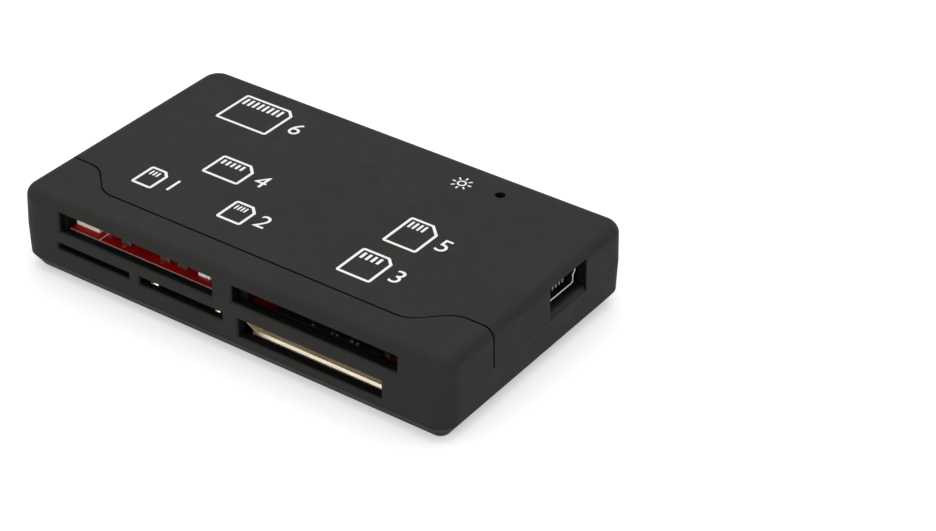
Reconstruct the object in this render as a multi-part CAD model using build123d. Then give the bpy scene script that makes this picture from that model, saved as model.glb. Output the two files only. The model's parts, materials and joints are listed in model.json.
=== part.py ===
from build123d import *
from dataclasses import dataclass
from math import atan2, degrees
import os

# A card reader: a snapped case of two covers and a front bezel round one circuit board.
# The front is at -Y, the cable port is in the +X side, and the case stands on z = 0.
# Lengths are millimetres.

@dataclass
class Mouth:
    """A card mouth in the front panel."""

    x0: float
    x1: float
    z0: float
    height: float


@dataclass
class Contacts:
    """A row of spring contacts: how many, how far apart, and how far each reaches and lifts."""

    count: int
    pitch: float
    width: float
    reach: float
    lift: float


@dataclass
class HungSocket:
    """A sheet-metal card socket soldered under the board. Its front edge is at y."""

    x0: float
    x1: float
    y: float
    depth: float
    height: float
    contacts: Contacts


# Widths of the cards, and how much wider their mouths are
PICTURE_CARD_W = 25.0
WIDE_CARD_W = 24.0
MICRO_CARD_W = 11.0
MINI_CARD_W = 12.5
STICK_CARD_W = 21.5
PICTURE_MOUTH_PLAY = 1.9
WIDE_MOUTH_PLAY = 2.85
MICRO_MOUTH_PLAY = 1.8
MINI_MOUTH_PLAY = 1.9
STICK_MOUTH_PLAY = 2.0

# Card mouths in the front panel
PICTURE_SLOT_H = 3.05
WIDE_SLOT_H = 2.55
MICRO_SLOT_H = 1.1
MINI_SLOT_H = 1.35
STICK_SLOT_H = 2.95
UPPER_GAP = 3.3
MICRO_MINI_GAP = 1.8
MINI_STICK_GAP = 2.6
UPPER_ROW_SHIFT = -0.2
LOWER_ROW_OUT = 0.475
PICTURE_SLOT_RISE = 0.05
WIDE_SLOT_RISE = 0.6
MICRO_SLOT_DROP = 0.25
MINI_SLOT_DROP = 0.1
MOUTH_BEVEL = 0.2

# Case walls and outer form
END_MARGIN = 7.475
WALL_T = 1.4
PANEL_T = 1.4
ROOF_T = 1.0
FLOOR_T = 1.2
WALL_FLARE = 0.2
BACK_CORNER_R = 2.8
FRONT_CORNER_R = 2.8
INNER_CORNER_R = 1.5
TOP_EDGE_R = 1.6
BASE_BEVEL_H = 2.3
BASE_BEVEL_IN = 1.6
BASE_EDGE_R = 0.6
FLOOR_BEVEL = 1.2

# Joints between the three case pieces
SEAM_SET_BACK = 5.5
SEAM_STEP = 4.65
SEAM_BEND_INSET = 8.0
SEAM_BEND_R = 4.0
SEAM_GAP = 0.3
JOINT_GAP = 0.05
PARTING_RISE = 0.4
SILL_H = 2.5
CHEEK_D = 2.6
LAP_H = 0.8
LAP_T = 0.65
TONGUE_W = 1.3
TONGUE_T = 0.55
TONGUE_ROOT = 1.4
CHEEK_HOOK_L = 1.8
CHEEK_HOOK_T = 0.8
CHEEK_HOOK_H = 2.2
UPSTAND_T = 0.7
UPSTAND_H = 1.6
GUIDE_RIB_W = 0.55
GUIDE_RIB_D = 1.4
SNAP_W = 4.0
SNAP_T = 0.9
SNAP_RISE = 1.2
SNAP_BARB = 0.45
SNAP_BARB_H = 0.8
SNAP_SIDE_Y = -2.5
SNAP_BACK_INSET = 8.0

# Overlap of pieces that are joined or cut, and reach of the cutting plans past the case
FUSE = 0.3
PLAN_MARGIN = 5.0

# Board and its posts
BOARD_T = 1.6
BELOW_BOARD = 5.25
BOARD_GAP = 0.4
BOARD_FRONT_GAP = 0.22
BOARD_CORNER_R = 1.2
BOSS_R = 1.5
BOSS_INSET = 2.4
BOSS_FRONT_SET_BACK = 13.6
BOSS_BACK_INSET = 3.3
BOSS_RIB_T = 0.8
PEG_R = 0.8
PEG_DROP = 0.2
PEG_GAP = 0.1
POST_T = 0.8
POST_GAP = 0.05

# Sockets on top of the board
FRAME_SET_BACK = 0.45
WIDE_FRAME_D = 21.3
WIDE_FRAME_H = 2.9
CARD_PLAY = 0.4
WIDE_SILL_W = 17.4
WIDE_SILL_D = 0.85
WIDE_SILL_SHIFT = 0.8
WIDE_WEB_D = 0.3
WIDE_WEB_H = 0.25
FRAME_OVERLAP = 0.3
BAR_D = 4.0
PICTURE_FRAME_D = 16.0
PICTURE_FRAME_SET_BACK = 4.2
PICTURE_LEDGE_H = 1.1
PICTURE_LEDGE_W = 0.9
RAIL_LIP_W = 0.5
RAIL_LIP_T = 0.4

# Sheet-metal sockets under the board
SHELL_T = 0.25
SHELL_INSET = 0.2
FLANGE_W = 0.6
STICK_SET_BACK = 1.1
STICK_D = 19.75
STICK_H = 3.35
STICK_ROOF_D = 11.0
MICRO_SET_BACK = 1.2
MICRO_D = 14.0
MICRO_H = 1.75
MINI_SET_BACK = 0.4
MINI_D = 15.4
MINI_H = 1.9
LIP_D = 0.36
LIP_DROP = 0.46
MINI_LIP_W = 1.3
EAR_GAP = 0.1
EAR_RISE = 2.0
INSULATOR_D = 3.0
INSULATOR_GAP = 0.05

# Spring contacts
CONTACT_T = 0.15
CONTACT_PLAY = 0.1
TAIL_L = 0.8
WIDE_CONTACTS = Contacts(count=9, pitch=2.5, width=0.9, reach=5.0, lift=1.25)
PICTURE_CONTACTS = Contacts(count=18, pitch=1.1, width=0.6, reach=4.5, lift=1.6)
MICRO_CONTACTS = Contacts(count=8, pitch=1.1, width=0.6, reach=3.2, lift=0.7)
MINI_CONTACTS = Contacts(count=11, pitch=0.9, width=0.5, reach=3.2, lift=0.75)
STICK_CONTACTS = Contacts(count=10, pitch=1.75, width=0.9, reach=4.5, lift=1.2)

# Header for the wide card at the back
REAR_CARD_W = 42.8
REAR_MOUTH_PLAY = 0.5
REAR_MOUTH_DROP = 0.25
CARD_BAY_D = 13.25
HEADER_D = 4.2
HEADER_H = 4.05
HEADER_ARM_T = 1.3
HEADER_ARM_PLAY = 0.15
MID_GAP = 2.6
PIN_COUNT = 25
PIN_PITCH = 1.27
PIN_W = 0.48
PIN_PLAY = 0.02
PIN_REACH = 4.6
PIN_TAIL_STEP = 0.6

# Cable port
USB_W = 7.7
USB_BASE_W = 6.8
USB_H = 3.6
USB_D = 9.2
USB_T = 0.3
USB_ROOF_GAP = 0.1
USB_SIDE_SET_BACK = 1.2
USB_FRAME_GAP = 0.75
USB_CORNER_R = 0.5
USB_MOUTH_W = 8.8
USB_TONGUE_W = 4.2
USB_TONGUE_T = 0.8
USB_TONGUE_L = 5.4
USB_BACK_D = 3.0
USB_LEG_W = 1.2
USB_LEG_L = 1.3
USB_CONTACT_COUNT = 5
USB_CONTACT_PITCH = 0.8
USB_CONTACT_W = 0.35

# Indicator
LED_SIDE_INSET = 17.4
LED_BACK_INSET = 4.95
LED_HOLE_R = 0.75
LED_L = 3.2
LED_W = 1.6
LED_BASE_H = 0.5
LED_LENS_H = 0.6

# Controller and the parts round it
CHIP_W = 7.0
CHIP_T = 1.4
CHIP_STAND = 0.1
CHIP_BEVEL = 0.25
CHIP_X = -8.0
CHIP_BACK_INSET = 10.2
CHIP_LEAD_COUNT = 10
CHIP_PITCH = 0.65
LEAD_W = 0.22
LEAD_T = 0.12
LEAD_OUT = 0.9
CRYSTAL_L = 10.2
CRYSTAL_W = 3.8
CRYSTAL_H = 3.2
CRYSTAL_FLANGE = 0.4
CRYSTAL_X = 4.6
REGULATOR_L = 6.5
REGULATOR_W = 3.5
REGULATOR_H = 1.6
REGULATOR_X = -24.0
REGULATOR_BACK_INSET = 9.0
REGULATOR_BEVEL = 0.3
REGULATOR_LEAD_COUNT = 3
REGULATOR_PITCH = 2.3
REGULATOR_LEAD_W = 0.7
REGULATOR_TAB_W = 3.0

# Small parts behind the upper mouths
SWITCH_L = 4.3
SWITCH_W = 1.5
SWITCH_H = 0.95
SWITCH_SET_BACK = 2.95
SWITCH_BEVEL = 0.15
LEVER_T = 0.15
LEVER_H = 0.6
LEVER_L = 1.6
CHIP_PART_SET_BACK = 3.5
CAP_SPOTS = (-4.05, 2.85, 5.85)
RESISTOR_SET_BACK = 3.15
RESISTOR_SPOTS = (-1.95, 1.25, 4.55, 9.55)
CAP_L = 1.6
CAP_W = 0.85
CAP_H = 0.8
RESISTOR_L = 1.5
RESISTOR_W = 0.8
RESISTOR_H = 0.5
TERMINAL_L = 0.3
NETWORK_L = 2.0
NETWORK_W = 1.0
NETWORK_H = 0.5
NETWORK_NICK_COUNT = 3
NETWORK_NICK_W = 0.2
NETWORK_SPOT = 9.65

# Places worked out from the sizes above
PICTURE_SLOT_W = PICTURE_CARD_W + PICTURE_MOUTH_PLAY
WIDE_SLOT_W = WIDE_CARD_W + WIDE_MOUTH_PLAY
MICRO_SLOT_W = MICRO_CARD_W + MICRO_MOUTH_PLAY
MINI_SLOT_W = MINI_CARD_W + MINI_MOUTH_PLAY
STICK_SLOT_W = STICK_CARD_W + STICK_MOUTH_PLAY
UPPER_ROW_W = PICTURE_SLOT_W + UPPER_GAP + WIDE_SLOT_W
CASE_W = UPPER_ROW_W + 2 * END_MARGIN
CASE_D = PANEL_T + STICK_SET_BACK + STICK_D + MID_GAP + HEADER_D + CARD_BAY_D
BOARD_BOTTOM = FLOOR_T + BELOW_BOARD
BOARD_TOP = BOARD_BOTTOM + BOARD_T
ROOF_Z = BOARD_TOP + USB_H + USB_ROOF_GAP
CASE_H = ROOF_Z + ROOF_T
PARTING_Z = BOARD_BOTTOM + PARTING_RISE
SIDE_X = CASE_W / 2
FRONT_Y = -CASE_D / 2
BACK_Y = CASE_D / 2
INNER_X = SIDE_X - WALL_T
INNER_BACK_Y = BACK_Y - WALL_T
PANEL_Y = FRONT_Y + PANEL_T

PICTURE_X0 = UPPER_ROW_SHIFT - UPPER_ROW_W / 2
PICTURE_X1 = PICTURE_X0 + PICTURE_SLOT_W
WIDE_X0 = PICTURE_X1 + UPPER_GAP
WIDE_X1 = WIDE_X0 + WIDE_SLOT_W
PICTURE_X = (PICTURE_X0 + PICTURE_X1) / 2
WIDE_X = (WIDE_X0 + WIDE_X1) / 2
MICRO_X0 = PICTURE_X0 - LOWER_ROW_OUT
MICRO_X1 = MICRO_X0 + MICRO_SLOT_W
MINI_X0 = MICRO_X1 + MICRO_MINI_GAP
MINI_X1 = MINI_X0 + MINI_SLOT_W
STICK_X0 = MINI_X1 + MINI_STICK_GAP
STICK_X1 = STICK_X0 + STICK_SLOT_W

FRAME_Y = PANEL_Y + FRAME_SET_BACK
WIDE_BACK_Y = FRAME_Y + WIDE_FRAME_D
HEADER_BACK_Y = BACK_Y - CARD_BAY_D
HEADER_FRONT_Y = HEADER_BACK_Y - HEADER_D
HEADER_Z = BOARD_BOTTOM - HEADER_H
USB_X = SIDE_X - USB_SIDE_SET_BACK
USB_Y = WIDE_BACK_Y + USB_FRAME_GAP + USB_W / 2
BOSS_X = INNER_X - BOSS_INSET
BOSS_YS = (FRONT_Y + BOSS_FRONT_SET_BACK, INNER_BACK_Y - BOSS_BACK_INSET)
BOSSES = [(side * BOSS_X, y) for side in (-1, 1) for y in BOSS_YS]
PEGS = (BOSSES[0], BOSSES[-1])
SNAP_Z = BOARD_TOP + SNAP_RISE
SNAP_PLACES = [
    Pos(-INNER_X, SNAP_SIDE_Y) * Rot(0, 0, 180),
    Pos(INNER_X, SNAP_SIDE_Y),
    Pos(-SIDE_X + SNAP_BACK_INSET, INNER_BACK_Y) * Rot(0, 0, 90),
    Pos(SIDE_X - SNAP_BACK_INSET, INNER_BACK_Y) * Rot(0, 0, 90),
]
LED_X = SIDE_X - LED_SIDE_INSET
LED_Y = BACK_Y - LED_BACK_INSET

MOUTHS = [
    Mouth(PICTURE_X0, PICTURE_X1, BOARD_TOP + PICTURE_SLOT_RISE, PICTURE_SLOT_H),
    Mouth(WIDE_X0, WIDE_X1, BOARD_TOP + WIDE_SLOT_RISE, WIDE_SLOT_H),
    Mouth(MICRO_X0, MICRO_X1, BOARD_BOTTOM - MICRO_SLOT_DROP - MICRO_SLOT_H, MICRO_SLOT_H),
    Mouth(MINI_X0, MINI_X1, BOARD_BOTTOM - MINI_SLOT_DROP - MINI_SLOT_H, MINI_SLOT_H),
    Mouth(STICK_X0, STICK_X1, BOARD_BOTTOM - STICK_SLOT_H, STICK_SLOT_H),
]
MICRO = HungSocket(MICRO_X0, MICRO_X1, PANEL_Y + MICRO_SET_BACK, MICRO_D, MICRO_H, MICRO_CONTACTS)
MINI = HungSocket(MINI_X0, MINI_X1, PANEL_Y + MINI_SET_BACK, MINI_D, MINI_H, MINI_CONTACTS)
STICK = HungSocket(STICK_X0, STICK_X1, PANEL_Y + STICK_SET_BACK, STICK_D, STICK_H, STICK_CONTACTS)


def block(x0, x1, y0, y1, z0, z1):
    """A rectangular solid between two corners."""
    centre = Pos((x0 + x1) / 2, (y0 + y1) / 2, (z0 + z1) / 2)
    return centre * Box(x1 - x0, y1 - y0, z1 - z0)


def row(count, pitch, centre=0.0):
    """Places of a row of like features about a centre."""
    return [centre + (i - (count - 1) / 2) * pitch for i in range(count)]


def side_prism(points, x0, x1):
    """A solid with a side view given as points in Y and Z, from x0 to x1."""
    face = make_face(Polyline(*points, close=True))
    return Pos(x0, 0, 0) * extrude(Plane.YZ * face, x1 - x0)


def strip(points, thickness, width, x):
    """A bent metal strip about x: one side of it follows the points in Y and Z."""
    path = Polyline(*points)
    outline = offset(path, amount=thickness, side=Side.LEFT, kind=Kind.INTERSECTION, closed=True)
    return Pos(x - width / 2, 0, 0) * extrude(Plane.YZ * make_face(outline.edges()), width)


def outline(inset, front_inset):
    """Plan of the case, drawn in from its side and back walls and from its front."""
    depth = CASE_D - inset - front_inset
    plan = Pos(0, (front_inset - inset) / 2) * Rectangle(CASE_W - 2 * inset, depth)
    front = plan.vertices().group_by(Axis.Y)[0]
    plan = fillet(front, max(FRONT_CORNER_R - inset, INNER_CORNER_R))
    back = plan.vertices().group_by(Axis.Y)[-1]
    return fillet(back, max(BACK_CORNER_R - inset, INNER_CORNER_R))


def prism(plan, z0, z1):
    """A plan raised from one level to another."""
    return Pos(0, 0, z0) * extrude(plan, z1 - z0)


def wall_lean(z):
    """Angle at which the outer walls lean in from the parting line to a level."""
    return degrees(atan2(WALL_FLARE, abs(z - PARTING_Z)))


def case_solid():
    """Outer form: walls that stand out most at the parting line, rounded edges and a base that leans in."""
    widest = Pos(0, 0, PARTING_Z) * outline(-WALL_FLARE, -WALL_FLARE)
    body = extrude(widest, CASE_H - PARTING_Z, taper=wall_lean(CASE_H))
    body += extrude(widest, PARTING_Z, dir=(0, 0, -1), taper=wall_lean(0))
    body = fillet(body.edges().group_by(Axis.Z)[-1], TOP_EDGE_R)
    base = body.faces().sort_by(Axis.Z)[0]
    body = chamfer(base.edges(), BASE_BEVEL_IN, BASE_BEVEL_H, reference=base)
    return fillet(body.edges().group_by(Axis.Z)[0], BASE_EDGE_R)


def cavity_solid():
    """Space inside the case."""
    space = prism(outline(WALL_T, PANEL_T), FLOOR_T, ROOF_Z)
    space = chamfer(space.edges().group_by(Axis.Z)[-1], TOP_EDGE_R - ROOF_T)
    return chamfer(space.edges().group_by(Axis.Z)[0], FLOOR_BEVEL)


def ahead_of_seam(shift, z0, z1):
    """All that lies in front of the bezel's rear edge, with the edge moved back by a shift."""
    far = SIDE_X + PLAN_MARGIN
    middle_y = FRONT_Y + SEAM_SET_BACK + shift
    side_y = middle_y + SEAM_STEP
    inner = SIDE_X - SEAM_BEND_INSET - SEAM_STEP / 2
    outer = inner + SEAM_STEP
    left = [(-far, side_y), (-outer, side_y), (-inner, middle_y)]
    right = [(-x, y) for x, y in reversed(left)]
    edge = FilletPolyline(*left, *right, radius=SEAM_BEND_R)
    front_y = FRONT_Y - PLAN_MARGIN
    rest = Polyline((far, side_y), (far, front_y), (-far, front_y), (-far, side_y))
    return prism(make_face([*edge.edges(), *rest.edges()]), z0, z1)


def bezel_zone(seam_gap, joint_gap):
    """Room of the front bezel: above the parting line to the seam, and below it the front cheeks."""
    far = SIDE_X + PLAN_MARGIN
    upper = ahead_of_seam(seam_gap, PARTING_Z - joint_gap, CASE_H + PLAN_MARGIN)
    cheek_y = FRONT_Y + CHEEK_D + joint_gap
    lower = block(-far, far, FRONT_Y - PLAN_MARGIN, cheek_y, SILL_H - joint_gap, PARTING_Z + FUSE)
    return upper + lower


def level_slab(z0, z1):
    """Everything between two levels."""
    return block(-CASE_W, CASE_W, -CASE_D, CASE_D, z0, z1)


def lap_ring(inset, z0, z1):
    """Inner part of the wall's thickness, used where one cover laps inside the other."""
    return prism(outline(inset, inset), z0, z1) - prism(outline(WALL_T, WALL_T), z0, z1)


def mouth_cutter(mouth):
    """Opening of one card mouth, square to the leaning front, with a bevelled outer edge."""
    width = mouth.x1 - mouth.x0
    z = mouth.z0 + mouth.height / 2
    end = CASE_H if z > PARTING_Z else 0
    stand_out = WALL_FLARE * (z - end) / (PARTING_Z - end)
    turn = -wall_lean(end) if z > PARTING_Z else wall_lean(end)
    centre = Pos((mouth.x0 + mouth.x1) / 2, FRONT_Y - stand_out, z) * Rot(turn, 0, 0)
    face = Rot(90, 0, 0) * Rectangle(width, mouth.height)
    hole = extrude(face, amount=PANEL_T + WALL_FLARE + FUSE, dir=(0, 1, 0))
    wide = Rot(-90, 0, 0) * Rectangle(width + 2 * MOUTH_BEVEL, mouth.height + 2 * MOUTH_BEVEL)
    flare = extrude(wide, amount=MOUTH_BEVEL, taper=45)
    return centre * (hole + flare)


def post_plan(thickness):
    """Plan of a cross-shaped board post."""
    return Rectangle(2 * BOSS_R, thickness) + Rectangle(thickness, 2 * BOSS_R)


def front_bezel(shell):
    """Front cap with the card mouths, guide ribs and hooks that reach inside the top cover."""
    bezel = shell & bezel_zone(0, 0)
    for mouth in MOUTHS:
        bezel -= mouth_cutter(mouth)
    rib_y = PANEL_Y - FUSE
    for x0 in (PICTURE_X0, PICTURE_X1 - GUIDE_RIB_W):
        rib_z = BOARD_TOP + PICTURE_SLOT_RISE
        bezel += block(x0, x0 + GUIDE_RIB_W, rib_y, PANEL_Y + GUIDE_RIB_D, rib_z, ROOF_Z + FUSE)
    side_y = FRONT_Y + SEAM_SET_BACK + SEAM_STEP
    free_x = INNER_X - JOINT_GAP
    hook_x = free_x - CHEEK_HOOK_T
    hook_z = ROOF_Z - TONGUE_T - JOINT_GAP - CHEEK_HOOK_H
    root_y = side_y - CHEEK_HOOK_L
    hook_plan = make_face(Polyline(
        (hook_x, root_y),
        (INNER_X + FUSE, root_y),
        (INNER_X + FUSE, side_y),
        (free_x, side_y),
        (free_x, side_y + CHEEK_HOOK_L),
        (hook_x, side_y + CHEEK_HOOK_L),
        close=True,
    ))
    hook = prism(hook_plan, hook_z, hook_z + CHEEK_HOOK_H)
    return bezel + hook + mirror(hook, Plane.YZ)


def snap_hook():
    """Upright arm with a barb, beside a wall at x = 0 that faces -X."""
    outer = -JOINT_GAP
    inner = outer - SNAP_T
    tip = outer + SNAP_BARB
    profile = Polyline(
        (inner, FLOOR_T - FUSE),
        (outer, FLOOR_T - FUSE),
        (outer, SNAP_Z - SNAP_BARB_H),
        (tip, SNAP_Z - SNAP_BARB_H),
        (outer, SNAP_Z),
        (inner, SNAP_Z),
        close=True,
    )
    return extrude(Plane.XZ * make_face(profile), SNAP_W / 2, both=True)


def snap_pocket():
    """Recess in the wall that the barb catches in."""
    low = SNAP_Z - SNAP_BARB_H - JOINT_GAP
    depth = SNAP_BARB + JOINT_GAP
    half = SNAP_W / 2 + JOINT_GAP
    return block(-FUSE, depth, -half, half, low, SNAP_Z + JOINT_GAP)


def top_cover(shell):
    """Upper shell with the lip under the bezel, posts on the board, port notch and indicator hole."""
    cover = shell & level_slab(PARTING_Z, CASE_H + PLAN_MARGIN)
    cover -= bezel_zone(SEAM_GAP, JOINT_GAP)
    recess_in = WALL_T - LAP_T - JOINT_GAP
    cover -= lap_ring(recess_in, PARTING_Z - FUSE, PARTING_Z + LAP_H + JOINT_GAP)
    lip_z = ROOF_Z - TONGUE_T
    clear = TOP_EDGE_R - ROOF_T + JOINT_GAP
    room = prism(outline(WALL_T + clear, PANEL_T + clear), lip_z, CASE_H)
    lip = ahead_of_seam(TONGUE_ROOT, lip_z, ROOF_Z - JOINT_GAP)
    lip += ahead_of_seam(TONGUE_ROOT, lip_z, ROOF_Z + FUSE) - ahead_of_seam(SEAM_GAP, lip_z, CASE_H)
    lip -= ahead_of_seam(-TONGUE_W, lip_z - FUSE, CASE_H)
    cover += lip & room
    post = prism(post_plan(POST_T), BOARD_TOP + POST_GAP, ROOF_Z + FUSE)
    for x, y in BOSSES:
        cover += Pos(x, y) * post
    for place in SNAP_PLACES:
        cover -= place * snap_pocket()
    half = USB_MOUTH_W / 2
    notch_x = INNER_X - (TOP_EDGE_R - ROOF_T) - FUSE
    cover -= block(notch_x, SIDE_X + PLAN_MARGIN, USB_Y - half, USB_Y + half, PARTING_Z - FUSE, ROOF_Z)
    cover -= Pos(LED_X, LED_Y, CASE_H) * Cylinder(LED_HOLE_R, 2 * ROOF_T + FUSE)
    return cover


def bottom_cover(shell):
    """Lower shell with the lap that the top cover fits over, board posts, snap hooks and rear mouth."""
    cover = shell & level_slab(-PLAN_MARGIN, PARTING_Z - JOINT_GAP)
    lap = lap_ring(WALL_T - LAP_T, PARTING_Z - JOINT_GAP - FUSE, PARTING_Z + LAP_H)
    cover += lap
    cover -= bezel_zone(SEAM_GAP, JOINT_GAP)
    upstand_y = PANEL_Y + JOINT_GAP
    half = INNER_X - FLOOR_BEVEL
    upstand_top = FLOOR_T + UPSTAND_H
    cover += block(-half, half, upstand_y, upstand_y + UPSTAND_T, FLOOR_T - FUSE, upstand_top)
    root = FLOOR_T - FUSE
    post = prism(post_plan(BOSS_RIB_T), root, BOARD_BOTTOM)
    for x, y in BOSSES:
        wall_x = INNER_X + FUSE if x > 0 else -INNER_X - FUSE
        rib_top = PARTING_Z - LAP_H
        rib_y = BOSS_RIB_T / 2
        cover += block(min(x, wall_x), max(x, wall_x), y - rib_y, y + rib_y, root, rib_top)
        cover += Pos(x, y) * post
    peg = prism(Circle(PEG_R), root, BOARD_TOP - PEG_DROP)
    for x, y in PEGS:
        cover += Pos(x, y) * peg
    for place in SNAP_PLACES:
        cover += place * snap_hook()
    mouth = REAR_CARD_W / 2 + REAR_MOUTH_PLAY
    mouth_top = BOARD_BOTTOM - REAR_MOUTH_DROP
    cover -= block(-mouth, mouth, INNER_BACK_Y - FUSE, BACK_Y + PLAN_MARGIN, HEADER_Z, mouth_top)
    return cover


def usb_leg_places():
    """Centres of the port's four board legs."""
    side = USB_W / 2 - USB_T / 2
    first = USB_X - USB_LEG_W
    last = USB_X - USB_D + USB_LEG_W
    return [(x, USB_Y + s * side) for x in (first, last) for s in (-1, 1)]


def circuit_board():
    """Board with two peg holes, notches for the snap hooks and slots for the port's legs."""
    half = INNER_X - BOARD_GAP
    front = PANEL_Y + BOARD_FRONT_GAP
    back = INNER_BACK_Y - BOARD_GAP
    plan = Pos(0, (front + back) / 2) * Rectangle(2 * half, back - front)
    plan = fillet(plan.vertices(), BOARD_CORNER_R)
    for x, y in PEGS:
        plan -= Pos(x, y) * Circle(PEG_R + PEG_GAP)
    notch = Rectangle(2 * (JOINT_GAP + SNAP_T + BOARD_GAP), SNAP_W + 2 * BOARD_GAP)
    for place in SNAP_PLACES:
        plan -= place * notch
    slot = Rectangle(USB_LEG_W + 2 * PEG_GAP, USB_T + 2 * PEG_GAP)
    for x, y in usb_leg_places():
        plan -= Pos(x, y) * slot
    return prism(plan, BOARD_BOTTOM, BOARD_TOP)


def comb_bar(x0, x1, y0, y1, board_z, far_z, contacts):
    """Moulded bar against the board, with a groove on the board side for each contact."""
    bar = block(x0, x1, y0, y1, min(board_z, far_z), max(board_z, far_z))
    half = contacts.width / 2 + CONTACT_PLAY
    depth = CONTACT_T if far_z > board_z else -CONTACT_T
    low = min(board_z, board_z + depth)
    for x in row(contacts.count, contacts.pitch, (x0 + x1) / 2):
        bar -= block(x - half, x + half, y0 - FUSE, y1 + FUSE, low, low + CONTACT_T)
    return bar


def spring_contacts(centre, bar_y0, bar_y1, board_z, up, contacts):
    """Contacts that lie in a comb bar, soldered behind it and lifted to a bent tip in front."""
    low = board_z if up > 0 else board_z - CONTACT_T
    tip_y = bar_y0 - contacts.reach
    lift = up * contacts.lift
    points = [
        (tip_y, low + lift / 2),
        (tip_y + TAIL_L, low + lift),
        (bar_y0 - CONTACT_T, low),
        (bar_y1 + TAIL_L, low),
    ]
    places = row(contacts.count, contacts.pitch, centre)
    return Compound(children=[strip(points, CONTACT_T, contacts.width, x) for x in places])


def rail(inner_x, outer_x, y0, y1, height):
    """Side rail of an upper socket, with a lip over the card's edge. Its inner side faces +X."""
    lip_x = inner_x + RAIL_LIP_W
    profile = Polyline(
        (outer_x, BOARD_TOP),
        (inner_x, BOARD_TOP),
        (inner_x, BOARD_TOP + height - RAIL_LIP_T),
        (lip_x, BOARD_TOP + height - RAIL_LIP_T),
        (lip_x, BOARD_TOP + height),
        (outer_x, BOARD_TOP + height),
        close=True,
    )
    return Pos(0, y1, 0) * extrude(Plane.XZ * make_face(profile), y1 - y0)


def wide_slot_frame():
    """Upper right socket: two rails, a front sill on a thin web and a comb bar behind."""
    half = (WIDE_CARD_W + CARD_PLAY) / 2
    outer = WIDE_SLOT_W / 2 + FRAME_OVERLAP
    side = rail(-half, -outer, FRAME_Y, WIDE_BACK_Y, WIDE_FRAME_H)
    frame = Pos(WIDE_X, 0, 0) * (side + mirror(side, Plane.YZ))
    x0 = WIDE_X - outer
    x1 = WIDE_X + outer
    bar_y = WIDE_BACK_Y - BAR_D
    top = BOARD_TOP + WIDE_FRAME_H
    bar = comb_bar(x0, x1, bar_y, WIDE_BACK_Y, BOARD_TOP, top, WIDE_CONTACTS)
    sill_top = BOARD_TOP + WIDE_SLOT_RISE
    sill_x = WIDE_X + WIDE_SILL_SHIFT
    half_sill = WIDE_SILL_W / 2
    sill_back = FRAME_Y + WIDE_SILL_D
    sill = block(sill_x - half_sill, sill_x + half_sill, FRAME_Y, sill_back, BOARD_TOP, sill_top)
    web = block(x0, x1, FRAME_Y, FRAME_Y + WIDE_WEB_D, BOARD_TOP, BOARD_TOP + WIDE_WEB_H)
    return frame + bar + sill + web


def wide_slot_contacts():
    return spring_contacts(WIDE_X, WIDE_BACK_Y - BAR_D, WIDE_BACK_Y, BOARD_TOP, 1, WIDE_CONTACTS)


def picture_bar_span():
    """Front and back of the upper left socket's comb bar."""
    back = PANEL_Y + PICTURE_FRAME_SET_BACK + PICTURE_FRAME_D
    return back - BAR_D, back


def picture_slot_frame():
    """Upper left socket: two stepped rails that the card slides on, and a comb bar behind."""
    half = (PICTURE_CARD_W + CARD_PLAY) / 2
    outer = PICTURE_SLOT_W / 2 + FRAME_OVERLAP
    y0 = PANEL_Y + PICTURE_FRAME_SET_BACK
    bar_y, y1 = picture_bar_span()
    height = PICTURE_SLOT_RISE + PICTURE_SLOT_H
    ledge_top = BOARD_TOP + PICTURE_LEDGE_H
    side = rail(-half, -outer, y0, y1, height)
    side += block(-outer, -half + PICTURE_LEDGE_W, y0, y1, BOARD_TOP, ledge_top)
    frame = Pos(PICTURE_X, 0, 0) * (side + mirror(side, Plane.YZ))
    x0 = PICTURE_X - outer
    x1 = PICTURE_X + outer
    return frame + comb_bar(x0, x1, bar_y, y1, BOARD_TOP, BOARD_TOP + height, PICTURE_CONTACTS)


def picture_slot_contacts():
    bar_y0, bar_y1 = picture_bar_span()
    return spring_contacts(PICTURE_X, bar_y0, bar_y1, BOARD_TOP, 1, PICTURE_CONTACTS)


def front_lip(x0, x1, y, floor_z):
    """Lip at a shell's front edge, bent down so that a card's corner can't catch."""
    root = y + LIP_D
    points = [
        (root, floor_z),
        (y, floor_z - LIP_DROP),
        (y, floor_z - LIP_DROP + SHELL_T),
        (root, floor_z + SHELL_T),
    ]
    return side_prism(points, x0, x1)


def hung_shell(socket, lips):
    """Folded channel: floor, two walls and flanges against the board, with lips at the front."""
    left = socket.x0 + SHELL_INSET
    right = socket.x1 - SHELL_INSET
    floor_z = BOARD_BOTTOM - socket.height
    path = Polyline(
        (left - FLANGE_W, BOARD_BOTTOM),
        (left + SHELL_T, BOARD_BOTTOM),
        (left + SHELL_T, floor_z + SHELL_T),
        (right - SHELL_T, floor_z + SHELL_T),
        (right - SHELL_T, BOARD_BOTTOM),
        (right + FLANGE_W, BOARD_BOTTOM),
    )
    section = offset(path, amount=SHELL_T, side=Side.RIGHT, kind=Kind.INTERSECTION, closed=True)
    y0 = socket.y + LIP_D
    y1 = socket.y + socket.depth
    shell = Pos(0, y1, 0) * extrude(Plane.XZ * make_face(section.edges()), y1 - y0)
    for x0, x1 in lips:
        shell += front_lip(x0, x1, socket.y, floor_z)
    return shell


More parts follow.
